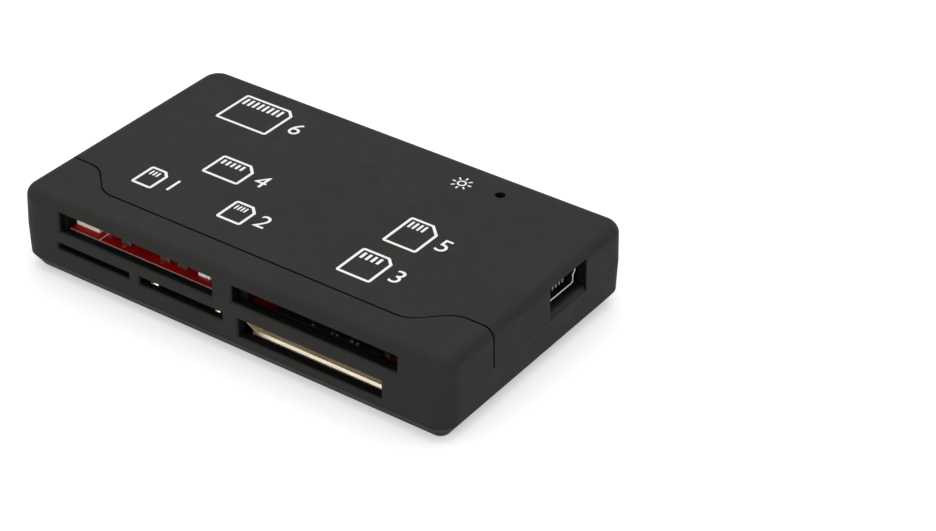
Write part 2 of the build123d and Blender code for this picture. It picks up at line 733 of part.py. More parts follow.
def stick_slot_shell():
    """Lower right shell: a channel with a roof, and walls that reach forward to the bezel."""
    shell = hung_shell(STICK, full_lip(STICK))
    left = STICK.x0 + SHELL_INSET
    right = STICK.x1 - SHELL_INSET
    floor_z = BOARD_BOTTOM - STICK.height
    root = STICK.y + LIP_D
    shell += block(left, right, root, root + STICK_ROOF_D, BOARD_BOTTOM - SHELL_T, BOARD_BOTTOM)
    tip = PANEL_Y + EAR_GAP
    points = [
        (root, floor_z),
        (root, BOARD_BOTTOM),
        (tip, BOARD_BOTTOM),
        (tip, floor_z + EAR_RISE),
    ]
    for x0 in (left, right - SHELL_T):
        shell += side_prism(points, x0, x0 + SHELL_T)
    return shell


def hung_bar_span(socket):
    """Front and back of the insulator in a hung socket."""
    back = socket.y + socket.depth
    return back - INSULATOR_D, back


def hung_insulator(socket):
    """Comb bar that fills the back of a hung shell."""
    y0, y1 = hung_bar_span(socket)
    side = SHELL_INSET + SHELL_T + INSULATOR_GAP
    floor_z = BOARD_BOTTOM - socket.height + SHELL_T
    return comb_bar(socket.x0 + side, socket.x1 - side, y0, y1, BOARD_BOTTOM, floor_z, socket.contacts)


def hung_contacts(socket):
    y0, y1 = hung_bar_span(socket)
    return spring_contacts((socket.x0 + socket.x1) / 2, y0, y1, BOARD_BOTTOM, -1, socket.contacts)


def full_lip(socket):
    """One lip along the whole front of a shell."""
    inset = SHELL_INSET + SHELL_T
    return [(socket.x0 + inset, socket.x1 - inset)]


def end_lips(socket):
    """A short lip at each end of a shell's front."""
    inset = SHELL_INSET + SHELL_T
    left = socket.x0 + inset
    right = socket.x1 - inset
    return [(left, left + MINI_LIP_W), (right - MINI_LIP_W, right)]


def pin_rows():
    """Heights of the header's two rows of pins."""
    middle = BOARD_BOTTOM - HEADER_H / 2
    return row(2, PIN_PITCH, middle)


def rear_header_body():
    """Header for the wide card: a pierced block with two arms that guide the card."""
    inner = REAR_CARD_W / 2 + HEADER_ARM_PLAY
    outer = inner + HEADER_ARM_T
    front = Pos(0, 0, BOARD_BOTTOM - HEADER_H / 2) * Rot(90, 0, 0) * Rectangle(2 * outer, HEADER_H)
    hole = PIN_W + 2 * PIN_PLAY
    for z in pin_rows():
        for x in row(PIN_COUNT, PIN_PITCH):
            front -= Pos(x, 0, z) * Rot(90, 0, 0) * Rectangle(hole, hole)
    body = Pos(0, HEADER_FRONT_Y, 0) * extrude(front, amount=HEADER_D, dir=(0, 1, 0))
    arm_end = INNER_BACK_Y - JOINT_GAP
    for x0 in (-outer, inner):
        body += block(x0, x0 + HEADER_ARM_T, HEADER_BACK_Y, arm_end, HEADER_Z, BOARD_BOTTOM)
    return body


def header_pin(x, z, tail_y):
    """Square pin through the header, turned up to the board in front of it."""
    half = PIN_W / 2
    points = [
        (HEADER_BACK_Y + PIN_REACH, z - half),
        (HEADER_BACK_Y + PIN_REACH, z + half),
        (tail_y + PIN_W, z + half),
        (tail_y + PIN_W, BOARD_BOTTOM),
        (tail_y, BOARD_BOTTOM),
        (tail_y, z - half),
    ]
    return side_prism(points, x - half, x + half)


def rear_header_pins():
    low, high = pin_rows()
    tails = {high: HEADER_FRONT_Y - PIN_TAIL_STEP, low: HEADER_FRONT_Y - 2 * PIN_TAIL_STEP}
    pins = []
    for z, tail_y in tails.items():
        pins += [header_pin(x, z, tail_y) for x in row(PIN_COUNT, PIN_PITCH)]
    return Compound(children=pins)


def usb_section(inset):
    """Section of the port in Y and Z about its base: wide above, drawn in below."""
    top = USB_W / 2
    base = USB_BASE_W / 2
    step = top - base
    waist = USB_H / 2
    right = [(base, 0), (base, waist - step), (top, waist), (top, USB_H)]
    left = [(-y, z) for y, z in reversed(right)]
    face = make_face(Polyline(*right, *left, close=True))
    face = fillet(face.vertices(), USB_CORNER_R)
    if inset > 0:
        face = offset(face, -inset)
    return Pos(0, USB_Y, BOARD_TOP) * (Plane.YZ * face)


def usb_port_shell():
    """Drawn metal shell of the port, with four legs through the board."""
    shell = extrude(usb_section(0) - usb_section(USB_T), USB_D)
    shell = Pos(USB_X - USB_D, 0, 0) * shell
    for x, y in usb_leg_places():
        x0 = x - USB_LEG_W / 2
        y0 = y - USB_T / 2
        leg_top = BOARD_TOP + USB_H - 2 * USB_CORNER_R
        shell += block(x0, x0 + USB_LEG_W, y0, y0 + USB_T, BOARD_TOP - USB_LEG_L, leg_top)
    return shell


def usb_tongue_base():
    """Height of the tongue's lower side."""
    return BOARD_TOP + (USB_H - USB_TONGUE_T) / 2


def usb_port_insulator():
    """Block at the back of the port with the tongue that the plug goes over."""
    back = Pos(USB_X - USB_D, 0, 0) * extrude(usb_section(USB_T + PIN_PLAY), USB_BACK_D)
    x0 = USB_X - USB_D + USB_BACK_D
    half = USB_TONGUE_W / 2
    low = usb_tongue_base()
    tongue = block(x0 - FUSE, x0 + USB_TONGUE_L, USB_Y - half, USB_Y + half, low, low + USB_TONGUE_T)
    return back + tongue


def usb_port_contacts():
    """Five strips along the top of the tongue and down its front."""
    x0 = USB_X - USB_D + USB_BACK_D
    x1 = x0 + USB_TONGUE_L
    base = usb_tongue_base()
    low = base + USB_TONGUE_T
    half = USB_CONTACT_W / 2
    strips = []
    for y in row(USB_CONTACT_COUNT, USB_CONTACT_PITCH, USB_Y):
        top = block(x0, x1, y - half, y + half, low, low + CONTACT_T)
        strips.append(top + block(x1, x1 + CONTACT_T, y - half, y + half, base, low + CONTACT_T))
    return Compound(children=strips)


def controller_place():
    return Pos(CHIP_X, INNER_BACK_Y - CHIP_BACK_INSET, BOARD_TOP)


def controller_chip():
    """Flat square package with bevelled sides and a dot at its first lead."""
    low = CHIP_STAND
    body = Pos(0, 0, low + CHIP_T / 2) * Box(CHIP_W, CHIP_W, CHIP_T)
    body = chamfer(body.edges().group_by(Axis.Z)[-1], CHIP_BEVEL)
    corner = -CHIP_W / 2 + 4 * CHIP_BEVEL
    body -= Pos(corner, corner, low + CHIP_T) * Cylinder(2 * CHIP_BEVEL, CHIP_BEVEL)
    return controller_place() * body


def controller_leads():
    """Gull-wing leads on the four sides of the controller."""
    edge = CHIP_W / 2
    mid = CHIP_STAND + CHIP_T / 2
    points = [
        (edge, mid),
        (edge + LEAD_OUT / 2, LEAD_T),
        (edge + LEAD_OUT, LEAD_T),
    ]
    leads = []
    for turn in range(4):
        for x in row(CHIP_LEAD_COUNT, CHIP_PITCH):
            lead = strip(points, -LEAD_T, LEAD_W, x)
            leads.append(controller_place() * Rot(0, 0, 90 * turn) * lead)
    return Compound(children=leads)


def crystal_can():
    """Oval metal can on a thin flange."""
    y = INNER_BACK_Y - CHIP_BACK_INSET
    can = extrude(SlotOverall(CRYSTAL_L, CRYSTAL_W), CRYSTAL_H)
    rim = 2 * CRYSTAL_FLANGE
    flange = extrude(SlotOverall(CRYSTAL_L + rim, CRYSTAL_W + rim), CRYSTAL_FLANGE)
    return Pos(CRYSTAL_X, y, BOARD_TOP) * (can + flange)


def regulator_place():
    return Pos(REGULATOR_X, INNER_BACK_Y - REGULATOR_BACK_INSET, BOARD_TOP)


def regulator_body():
    body = Pos(0, 0, REGULATOR_H / 2) * Box(REGULATOR_L, REGULATOR_W, REGULATOR_H)
    body = chamfer(body.edges().group_by(Axis.Z)[-1], REGULATOR_BEVEL)
    return regulator_place() * body


def regulator_leads():
    """Three legs in front of the regulator and one broad tab behind."""
    edge = REGULATOR_W / 2
    mid = REGULATOR_H / 2
    points = [
        (edge, mid),
        (edge + LEAD_OUT / 2, mid),
        (edge + LEAD_OUT, LEAD_T),
        (edge + 2 * LEAD_OUT, LEAD_T),
    ]
    leads = [strip(points, -LEAD_T, REGULATOR_TAB_W, 0)]
    for x in row(REGULATOR_LEAD_COUNT, REGULATOR_PITCH):
        leads.append(Rot(0, 0, 180) * strip(points, -LEAD_T, REGULATOR_LEAD_W, x))
    return Compound(children=[regulator_place() * lead for lead in leads])


def indicator_led():
    """Small lamp on the board under the indicator hole, with a rounded lens."""
    base = Pos(0, 0, LED_BASE_H / 2) * Box(LED_L, LED_W, LED_BASE_H)
    lens_l = LED_L - 2 * TERMINAL_L
    lens = Pos(0, 0, LED_BASE_H + LED_LENS_H / 2) * Box(lens_l, LED_W, LED_LENS_H)
    lens = chamfer(lens.edges().group_by(Axis.Z)[-1], LED_LENS_H / 3)
    return Pos(LED_X, LED_Y, BOARD_TOP) * (base + lens)


def card_switch_place():
    return Pos(PICTURE_X0 + GUIDE_RIB_W / 2, FRONT_Y + SWITCH_SET_BACK, BOARD_TOP)


def card_switch_body():
    """Pale moulded switch that a card's front corner trips."""
    body = Pos(SWITCH_L / 2, SWITCH_W / 2, SWITCH_H / 2) * Box(SWITCH_L, SWITCH_W, SWITCH_H)
    body = chamfer(body.edges().group_by(Axis.Z)[-1], SWITCH_BEVEL)
    return card_switch_place() * body


def card_switch_lever():
    """Bent blade at the end of the switch."""
    mid = SWITCH_W / 2
    blade = block(SWITCH_L, SWITCH_L + LEVER_L, mid - LEVER_T / 2, mid + LEVER_T / 2, 0, LEVER_H)
    return card_switch_place() * blade


def chip_spots():
    """Places of the small board parts behind the upper mouths, beside the controller and the lamp."""
    chip_y = INNER_BACK_Y - CHIP_BACK_INSET
    cap_x = CHIP_X - CHIP_W / 2 - LEAD_OUT - CAP_L
    resistor_x = cap_x - CAP_L - RESISTOR_L
    caps = [(PICTURE_X + x, FRONT_Y + CHIP_PART_SET_BACK) for x in CAP_SPOTS]
    caps += [(cap_x, chip_y + y) for y in (-CAP_L, CAP_L)]
    resistors = [(WIDE_X + x, FRONT_Y + RESISTOR_SET_BACK) for x in RESISTOR_SPOTS]
    resistors += [(resistor_x, chip_y + y) for y in (-CAP_L, 0, CAP_L)]
    resistors += [(LED_X - LED_L - RESISTOR_L, LED_Y)]
    return caps, resistors


def chip_bodies(spots, length, width, height):
    """Small rectangular parts without their end caps."""
    half = length / 2 - TERMINAL_L
    top = BOARD_TOP + height
    bodies = []
    for x, y in spots:
        bodies.append(block(x - half, x + half, y - width / 2, y + width / 2, BOARD_TOP, top))
    return bodies


def chip_ends(spots, length, width, height):
    """End caps of small rectangular parts."""
    ends = []
    for x, y in spots:
        for x0 in (x - length / 2, x + length / 2 - TERMINAL_L):
            y0 = y - width / 2
            ends.append(block(x0, x0 + TERMINAL_L, y0, y0 + width, BOARD_TOP, BOARD_TOP + height))
    return ends


def chip_capacitors():
    return Compound(children=chip_bodies(chip_spots()[0], CAP_L, CAP_W, CAP_H))


def chip_resistors():
    return Compound(children=chip_bodies(chip_spots()[1], RESISTOR_L, RESISTOR_W, RESISTOR_H))


def chip_terminals():
    caps, resistors = chip_spots()
    ends = chip_ends(caps, CAP_L, CAP_W, CAP_H)
    ends += chip_ends(resistors, RESISTOR_L, RESISTOR_W, RESISTOR_H)
    return Compound(children=ends)


def resistor_network():
    """Pale block of resistors with nicked sides, near the right end of the upper left mouth."""
    plan = Rectangle(NETWORK_L, NETWORK_W)
    for x in row(NETWORK_NICK_COUNT, NETWORK_L / (NETWORK_NICK_COUNT + 1)):
        for side in (-1, 1):
            plan -= Pos(x, side * NETWORK_W / 2) * Rectangle(NETWORK_NICK_W, NETWORK_NICK_W)
    place = Pos(PICTURE_X + NETWORK_SPOT, FRONT_Y + CHIP_PART_SET_BACK, BOARD_TOP)
    return place * extrude(plan, NETWORK_H)


def build():
    """All pieces by name."""
    shell = case_solid() - cavity_solid()
    return {
        "top_cover": top_cover(shell),
        "bottom_cover": bottom_cover(shell),
        "front_bezel": front_bezel(shell),
        "circuit_board": circuit_board(),
        "wide_slot_frame": wide_slot_frame(),
        "wide_slot_contacts": wide_slot_contacts(),
        "picture_slot_frame": picture_slot_frame(),
        "picture_slot_contacts": picture_slot_contacts(),
        "card_switch_body": card_switch_body(),
        "card_switch_lever": card_switch_lever(),
        "stick_slot_shell": stick_slot_shell(),
        "stick_slot_insulator": hung_insulator(STICK),
        "stick_slot_contacts": hung_contacts(STICK),
        "micro_slot_shell": hung_shell(MICRO, []),
        "micro_slot_insulator": hung_insulator(MICRO),
        "micro_slot_contacts": hung_contacts(MICRO),
        "mini_slot_shell": hung_shell(MINI, end_lips(MINI)),
        "mini_slot_insulator": hung_insulator(MINI),
        "mini_slot_contacts": hung_contacts(MINI),
        "rear_header_body": rear_header_body(),
        "rear_header_pins": rear_header_pins(),
        "usb_port_shell": usb_port_shell(),
        "usb_port_insulator": usb_port_insulator(),
        "usb_port_contacts": usb_port_contacts(),
        "controller_chip": controller_chip(),
        "controller_leads": controller_leads(),
        "crystal_can": crystal_can(),
        "regulator_body": regulator_body(),
        "regulator_leads": regulator_leads(),
        "indicator_led": indicator_led(),
        "chip_capacitors": chip_capacitors(),
        "chip_resistors": chip_resistors(),
        "chip_terminals": chip_terminals(),
        "resistor_network": resistor_network(),
    }


os.makedirs("parts", exist_ok=True)
for name, piece in build().items():
    export_step(piece, f"parts/{name}.step")
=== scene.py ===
import json
import math

import bmesh
import bpy
from bpy.props import FloatProperty, FloatVectorProperty, PointerProperty
from bpy.types import Operator, Panel, PropertyGroup
from mathutils import Matrix, Vector


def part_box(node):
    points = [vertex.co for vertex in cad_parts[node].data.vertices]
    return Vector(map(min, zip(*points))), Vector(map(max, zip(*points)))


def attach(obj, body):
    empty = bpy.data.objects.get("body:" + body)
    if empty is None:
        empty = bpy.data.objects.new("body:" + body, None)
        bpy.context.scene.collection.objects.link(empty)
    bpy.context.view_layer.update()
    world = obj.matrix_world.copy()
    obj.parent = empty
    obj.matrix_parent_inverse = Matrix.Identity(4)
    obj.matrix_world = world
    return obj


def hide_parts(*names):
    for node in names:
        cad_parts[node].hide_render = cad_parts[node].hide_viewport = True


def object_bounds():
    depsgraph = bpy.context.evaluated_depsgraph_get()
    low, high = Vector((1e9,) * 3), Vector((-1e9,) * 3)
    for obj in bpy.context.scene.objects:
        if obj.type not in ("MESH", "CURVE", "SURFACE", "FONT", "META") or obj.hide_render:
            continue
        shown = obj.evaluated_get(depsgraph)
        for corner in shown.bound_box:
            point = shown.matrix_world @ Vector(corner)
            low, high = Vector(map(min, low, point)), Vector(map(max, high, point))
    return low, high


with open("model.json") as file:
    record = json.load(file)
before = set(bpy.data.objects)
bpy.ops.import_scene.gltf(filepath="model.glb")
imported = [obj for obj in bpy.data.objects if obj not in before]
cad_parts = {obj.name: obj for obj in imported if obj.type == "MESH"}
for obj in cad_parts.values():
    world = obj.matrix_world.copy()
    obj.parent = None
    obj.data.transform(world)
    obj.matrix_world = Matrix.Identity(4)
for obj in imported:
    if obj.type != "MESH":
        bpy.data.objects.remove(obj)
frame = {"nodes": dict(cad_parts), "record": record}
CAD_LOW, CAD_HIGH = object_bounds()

bl_info = {
    "name": "Card Reader Looks",
    "version": (1, 0, 0),
    "blender": (4, 5, 0),
    "location": "3D View > Sidebar > Card Reader",
    "description": "Finishes, board details, top marks and stage for a pocket card reader",
    "category": "Object",
}

# Lengths are metres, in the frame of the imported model
MM = 0.001
WELD = 1e-6
SINK = 0.005 * MM
SLOT_COLOUR = {m["slot"]: tuple(m["base_color"][:3]) for m in frame["record"]["materials"]}
BOARD_LOW, BOARD_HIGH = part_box("circuit_board")
BOARD_TOP = BOARD_HIGH.z
TOP_Z = CAD_HIGH.z

# Core of the case in plan and height: what lies too near to it is the inside of a mouth, a seam or the
# port's notch, where shade is painted on the coat
CORNER_R = 2.8 * MM
CORE_Z = 6.8 * MM
NOTCH_SKIN = 0.2 * MM
CORE_HALF = (CAD_HIGH.x - CORNER_R - NOTCH_SKIN, CAD_HIGH.y - CORNER_R, 4.0 * MM)
CORE_WEIGHT = (1, 1, 6)
SKIN_FROM = 2.2 * MM
SKIN_TO = 2.5 * MM

# A wall that faces along Y and lies within this distance of the middle is inside the case, and gets the
# painted shade
INNER_Y = (17.0 * MM, 18.0 * MM)
FACES_Y = (0.8, 0.95)

# Sloped sill under the cable port: ends along Y, and its section in X and Z, in millimetres
SILL_ENDS = (2.25, 10.98)
SILL_SECTION = (
    (35.25, 6.8),
    (36.15, 6.8),
    (36.02, 7.0),
    (35.84, 7.2),
    (35.6, 7.38),
    (35.4, 7.48),
    (35.25, 7.53),
)

# Where along X the painted shade over the board's right half and the painted dark shade at its ends begin
RIGHT_SHADE_EDGE = (-1.0 * MM, 1.0 * MM)
RIGHT_SHADE_SHARE = 0.3
MASK_GLOSS = 0.1
END_SHADE_EDGE = (31.0 * MM, 32.0 * MM)

# Depth along Y over which the lower right socket's painted shade fades to dark, and how metallic dull metal
# looks
SHADE_FADE_EDGE = (-18.0 * MM, -13.5 * MM)
DULL_METAL = 0.25
RESIN_GLOSS = 0.2
# Share of the recorded black on the socket resin: partly its own black, partly painted shade of the mouths
RESIN_SHARE = 0.25
LENS_CLEAR = 0.35

# Colours of the small parts and of the board's print
CREAM_RESIN = (0.96, 0.88, 0.72)
WHITE_CERAMIC = (0.97, 0.94, 0.92)
DARK_CERAMIC = (0.05, 0.034, 0.02)
CERAMIC_FLECK = (0.09, 0.06, 0.035)
COMPOUND_FLECK = (0.045, 0.045, 0.047)
GLASS_FLECK = (0.05, 0.05, 0.055)
BOARD_INK = (0.85, 0.82, 0.8)

# Lowest and highest roughness of the finishes
TINNED_ROUGH = (0.22, 0.38)
SPRING_ROUGH = (0.18, 0.32)
NICKEL_ROUGH = (0.2, 0.34)
PORT_GOLD_ROUGH = (0.16, 0.28)
DULL_ROUGH = (0.4, 0.55)
LEAD_ROUGH = (0.28, 0.45)
SOLDER_ROUGH = (0.25, 0.4)
RESIN_ROUGH = (0.45, 0.6)
COMPOUND_ROUGH = (0.5, 0.7)
CERAMIC_ROUGH = (0.3, 0.45)
GLASS_ROUGH = (0.15, 0.3)

# Stretch of the rolling lines along X, Y and Z
SHEET_ROLL = (0.2, 1, 1)
PORT_ROLL = (0.25, 1, 1)
PORT_GOLD_ROLL = (0.3, 1, 1)
SPRING_ROLL = (1, 0.3, 1)
NO_ROLL = (1, 1, 1)

# Sockets of a colour Mix node, which come after its number and vector sockets
MIX_A = 6
MIX_B = 7
MIX_RESULT = 2

# Folds that count as flat or as sharp, and the radii of the rounded sheet edges
FLAT_ANGLE = math.radians(0.5)
FOLD_ANGLE = math.radians(28)
LIP_FOLD_R = 0.28 * MM
LIP_FACING = -0.3
LIP_RISING = 0.1
FOLD_SLOPE = 0.5
RIM_FACING = 0.1
RIM_R = 0.11 * MM
TIP_T = 0.12 * MM
TIP_L = 0.55 * MM
# Painted shade: the port's contact tips take this share of the leads' colour, as they sit inside the port
TIP_SHARE = 0.3

# Spring tabs of the lower middle shell: ends along X, and their path in Y and Z, in millimetres
MINI_TABS = ((-13.25, -11.9), (-2.05, -1.2))
TAB_PATH = (
    (-18.9, 4.79),
    (-19.3, 4.9),
    (-19.55, 5.2),
    (-19.72, 5.5),
    (-19.9, 5.64),
    (-20.08, 5.68),
    (-20.24, 5.62),
    (-20.36, 5.5),
    (-20.42, 5.38),
)
TAB_WALL = 0.08 * MM

# Tails of the upper right socket's contacts: places along X, and corners about them, in millimetres
TAIL_PLACES = (13.35, 16.5, 17.25, 19.65, 20.5)
TAIL_BOX = ((-0.17, -19.02, 8.62), (0.17, -18.72, 8.8))

# How far the floor lies below the base, so that their faces don't meet
FLOOR_DROP = 0.02 * MM

# Plated holes as x and set-back from the board's front edge, in millimetres
HOLE_PLACES = (
    (-19.3, 0.9),
    (-12.7, 0.9),
    (-3.2, 1.1),
    (4.2, 1.9),
    (8.9, 1.9),
    (22.2, 1.9),
    (26.3, 1.7),
)
TRACK_RUN = 1.2 * MM
TRACK_JOG = 0.6 * MM
TRACK_END = 4.5 * MM
RING_WALL = 0.55
RING_RISE = 1.5

# Printed board lines as x, near end and far end, in millimetres from the board's front edge
SILK_LINES = ((-23.0, 0.1, 2.4), (-4.0, 1.0, 3.0))

# Solder round the ends of the small parts: its reach, and its share of an end's height
SOLDER_OUT = 0.1 * MM
SOLDER_RISE = 0.6

# Card outlines as centre x and y, width, height, clipped corner and bars, in millimetres
CARD_MARKS = (
    (-22.8, -8.6, 3.6, 4.8, 1.0, 3),
    (-7.4, -8.6, 4.2, 4.8, 1.2, 4),
    (14.2, -8.6, 5.6, 6.4, 1.2, 4),
    (-15.3, -0.6, 6.4, 5.2, 1.4, 5),
    (14.9, 1.0, 5.6, 7.0, 1.8, 4),
    (-22.0, 13.4, 9.2, 7.6, 1.2, 8),
)

# Numbers with their places, in millimetres
DIGITS = (
    ("1", -19.0, -8.6),
    ("2", -3.2, -8.6),
    ("3", 19.2, -8.6),
    ("4", -9.8, -0.6),
    ("5", 19.8, 1.0),
    ("6", -14.8, 13.4),
)
BAR_SHARE = 0.22

# Lamp mark: place in millimetres, ring, and rays as shares of the ring's radius and of a stroke
LAMP_MARK = (12.6, 15.6)
LAMP_RING_R = 0.7 * MM
LAMP_RING_WALL = 0.6
LAMP_RAYS = 8
RAY_SPAN = (1.4, 2.2)
RAY_HALF = 0.3

# Soft lights as place and width, and the floor, in metres
KEY_LIGHT = ((0.0, 0.1, 0.7), 1.4)
FRONT_LIGHT = ((0.1, -0.6, 0.2), 0.5)
SIDE_LIGHT = ((0.65, 0.0, 0.15), 0.5)
FLOOR_HALF = 3
FLOOR_BOUNCE = 0.8
SENSOR_W = 36
CLIP_NEAR = 0.01
CLIP_FAR = 10


def colour_prop(name, description, default):
    """A colour that a user can change."""
    return FloatVectorProperty(
        name=name, description=description, default=default, subtype="COLOR", size=3, min=0, max=1
    )


def length_prop(name, description, default):
    """A length that a user can change."""
    return FloatProperty(name=name, description=description, default=default, unit="LENGTH", precision=5)


def angle_prop(name, description, default):
    """An angle that a user can change."""
    return FloatProperty(name=name, description=description, default=default, subtype="ANGLE")


def share_prop(name, description, default):
    """A share from none to all that a user can change."""
    return FloatProperty(
        name=name, description=description, default=default, subtype="FACTOR", min=0, max=1
    )


def power_prop(name, description, default):
    """A lamp's power that a user can change."""
    return FloatProperty(name=name, description=description, default=default, unit="POWER")


class CaseFinish(PropertyGroup):
    """Soft-touch coat of the three case pieces."""

    colour: colour_prop("Coat", "Colour of the soft-touch coat", (0.0192, 0.019, 0.018))
    # Painted shade: near-black colour for the mouths, seams and the port's notch, darker than the plastic
    # itself
    bare: colour_prop("Bare plastic", "Colour of the plastic in the mouths", (0.0034, 0.0031, 0.003))
    roughness: share_prop("Roughness", "How dull the coat is", 0.66)
    gloss: share_prop("Gloss", "How much light the coat mirrors", 0.1)
    grain_size: length_prop("Grain size", "Width of one grain of the coat", 0.14 * MM)
    grain_depth: length_prop("Grain depth", "Height of the grain", 0.006 * MM)


class BoardFinish(PropertyGroup):
    """Colours and fine sizes of the circuit board."""

    mask: colour_prop("Mask", "Colour of the solder mask", (0.38, 0.005, 0.008))
    # Painted shade: near-black mask colour for the board's ends
    end_shade: colour_prop("End mask", "Colour of the mask at the board's ends", (0.02, 0.008, 0.007))
    edge: colour_prop("Edge", "Colour of the bare laminate at the board's front edge", (0.62, 0.36, 0.33))
    copper: colour_prop("Covered copper", "Colour of the mask over a track", (0.44, 0.011, 0.015))
    track_w: length_prop("Track width", "Width of a copper track", 0.22 * MM)
    track_h: length_prop("Track height", "Height of a track under the mask", 0.02 * MM)
    ring_r: length_prop("Ring radius", "Outer radius of a plated hole's ring", 0.36 * MM)
    silk_w: length_prop("Print width", "Width of the board's printed lines", 0.16 * MM)


class MetalFinish(PropertyGroup):
    """Colours of the bare metal pieces, three of them darker to paint shade."""

    tinned: colour_prop("Socket sheet", "Tinned sheet of the lower sockets", (0.96, 0.87, 0.7))
    # Painted shade: brownish colour for the shaded floor behind the lower right socket's lip, a darker copy
    # of the tinned sheet
    tan: colour_prop("Socket inside", "Stained inside of the lower right socket", (0.82, 0.66, 0.41))
    nickel: colour_prop("Port sheet", "Nickel plated sheet of the cable port", (0.5, 0.49, 0.475))
    # Painted shade: near-black copy of the port's nickel for the inside of its shell
    painted_shade_nickel: colour_prop("Port inside", "Dull inside of the cable port", (0.035, 0.032, 0.029))
    gold: colour_prop("Contacts", "Gold flash on the contacts", (0.83, 0.62, 0.28))
    solder: colour_prop("Leads", "Tinned leads", (0.76, 0.76, 0.74))
    # Painted shade: dark grey for solder and part ends, as they look in the mouths' shade
    painted_shade_tin: colour_prop("Solder", "Solder and the ends of the small parts", (0.17, 0.16, 0.145))


class TopMarks(PropertyGroup):
    """Printed marks on the top cover."""

    ink: colour_prop("Ink", "Colour of the printed marks", (0.82, 0.82, 0.81))
    stroke: length_prop("Stroke", "Width of a printed line", 0.42 * MM)
    film: length_prop("Film", "Thickness of the ink", 0.015 * MM)
    digit: length_prop("Digit", "Height of a number", 4.2 * MM)


class StageLook(PropertyGroup):
    """Camera and light."""

    azimuth: angle_prop("Azimuth", "Turn of the camera about the vertical", 0.5952)
    elevation: angle_prop("Elevation", "Height of the camera above the horizon", 0.5856)
    roll: angle_prop("Roll", "Turn of the camera about its own axis", 0.0215)
    distance: length_prop("Distance", "Camera to the object's origin, along the view", 349.15 * MM)
    aim_x: length_prop("Aim right", "Camera's shift to the right of the origin", 20.32 * MM)
    aim_y: length_prop("Aim up", "Camera's shift above the origin", 2.09 * MM)
    lens: FloatProperty(name="Lens", description="Focal length in millimetres", default=96.57)
    ambient: share_prop("Ambient", "Strength of the light from all round", 0.5)
    key: power_prop("Key", "Power of the overhead soft light", 6.0)
    fill: power_prop("Fill", "Power of the low front light", 1.65)
    side: power_prop("Side", "Power of the low side light", 0.55)
    warm: colour_prop("Side tint", "Colour of the low side light", (1.0, 0.72, 0.48))
    glow: share_prop("Floor glow", "Part of the floor's white that no shadow dims", 0.4)
    catch: share_prop("Floor white", "Part of the floor's white that shadows dim", 0.7)


def wire(tree, output, target):
    """Links an output to an input socket."""
    tree.links.new(output, target)


def new_finish(name):
    """A new material with its tree and its shader."""
    material = bpy.data.materials.new(name)
    material.use_nodes = True
    return material, material.node_tree, material.node_tree.nodes["Principled BSDF"]


def object_place(tree):
    """A point's place on the object."""
    return tree.nodes.new("ShaderNodeTexCoord").outputs["Object"]


def object_noise(tree, size, detail=2.0, stretch=(1, 1, 1)):
    """Noise on the object's coordinates, with features of about the size."""
    turn = tree.nodes.new("ShaderNodeMapping")
    turn.inputs["Scale"].default_value = stretch
    noise = tree.nodes.new("ShaderNodeTexNoise")
    noise.inputs["Scale"].default_value = 1 / size
    noise.inputs["Detail"].default_value = detail
    wire(tree, object_place(tree), turn.inputs["Vector"])
    wire(tree, turn.outputs["Vector"], noise.inputs["Vector"])
    return noise.outputs["Fac"]


def ramp(tree, value, start, end, low=0.0, high=1.0):
    """A number that runs from low to high as a value runs from start to end."""
    spread = tree.nodes.new("ShaderNodeMapRange")
    spread.inputs["From Min"].default_value = start
    spread.inputs["From Max"].default_value = end
    spread.inputs["To Min"].default_value = low
    spread.inputs["To Max"].default_value = high
    wire(tree, value, spread.inputs["Value"])
    return spread.outputs["Result"]


def between(tree, factor, low, high):
    """A number that runs from low to high as a noise factor runs over its middle range."""
    return ramp(tree, factor, 0.3, 0.7, low, high)


def axis_part(tree, vector, axis):
    """One part of a vector."""
    split = tree.nodes.new("ShaderNodeSeparateXYZ")
    wire(tree, vector, split.inputs["Vector"])
    return split.outputs[axis]


def two_tone(tree, factor, first, second):
    """A colour that runs from the first to the second with a factor. Each is a colour or a socket."""
    mix = tree.nodes.new("ShaderNodeMix")
    mix.data_type = "RGBA"
    for tone, socket in ((first, mix.inputs[MIX_A]), (second, mix.inputs[MIX_B])):
        if isinstance(tone, bpy.types.NodeSocket):
            wire(tree, tone, socket)
        else:
            socket.default_value = (*tone, 1)
    wire(tree, factor, mix.inputs["Factor"])
    return mix.outputs[MIX_RESULT]


def shade(colour, share):
    """A colour made lighter or darker."""
    return tuple(min(1.0, c * share) for c in colour)


def raise_grain(tree, shader, height, depth):
    """Bump of a depth on the shader."""
    bump = tree.nodes.new("ShaderNodeBump")
    bump.inputs["Distance"].default_value = depth
    wire(tree, height, bump.inputs["Height"])
    wire(tree, bump.outputs["Normal"], shader.inputs["Normal"])


def vector_step(tree, operation, vector, constant=(0, 0, 0)):
    """One step of vector arithmetic with a constant."""
    step = tree.nodes.new("ShaderNodeVectorMath")
    step.operation = operation
    step.inputs[1].default_value = constant
    wire(tree, vector, step.inputs[0])
    return step.outputs["Vector"]


def number_step(tree, operation, first, second):
    """One step of arithmetic with two numbers."""
    step = tree.nodes.new("ShaderNodeMath")
    step.operation = operation
    wire(tree, first, step.inputs[0])
    wire(tree, second, step.inputs[1])
    return step.outputs["Value"]


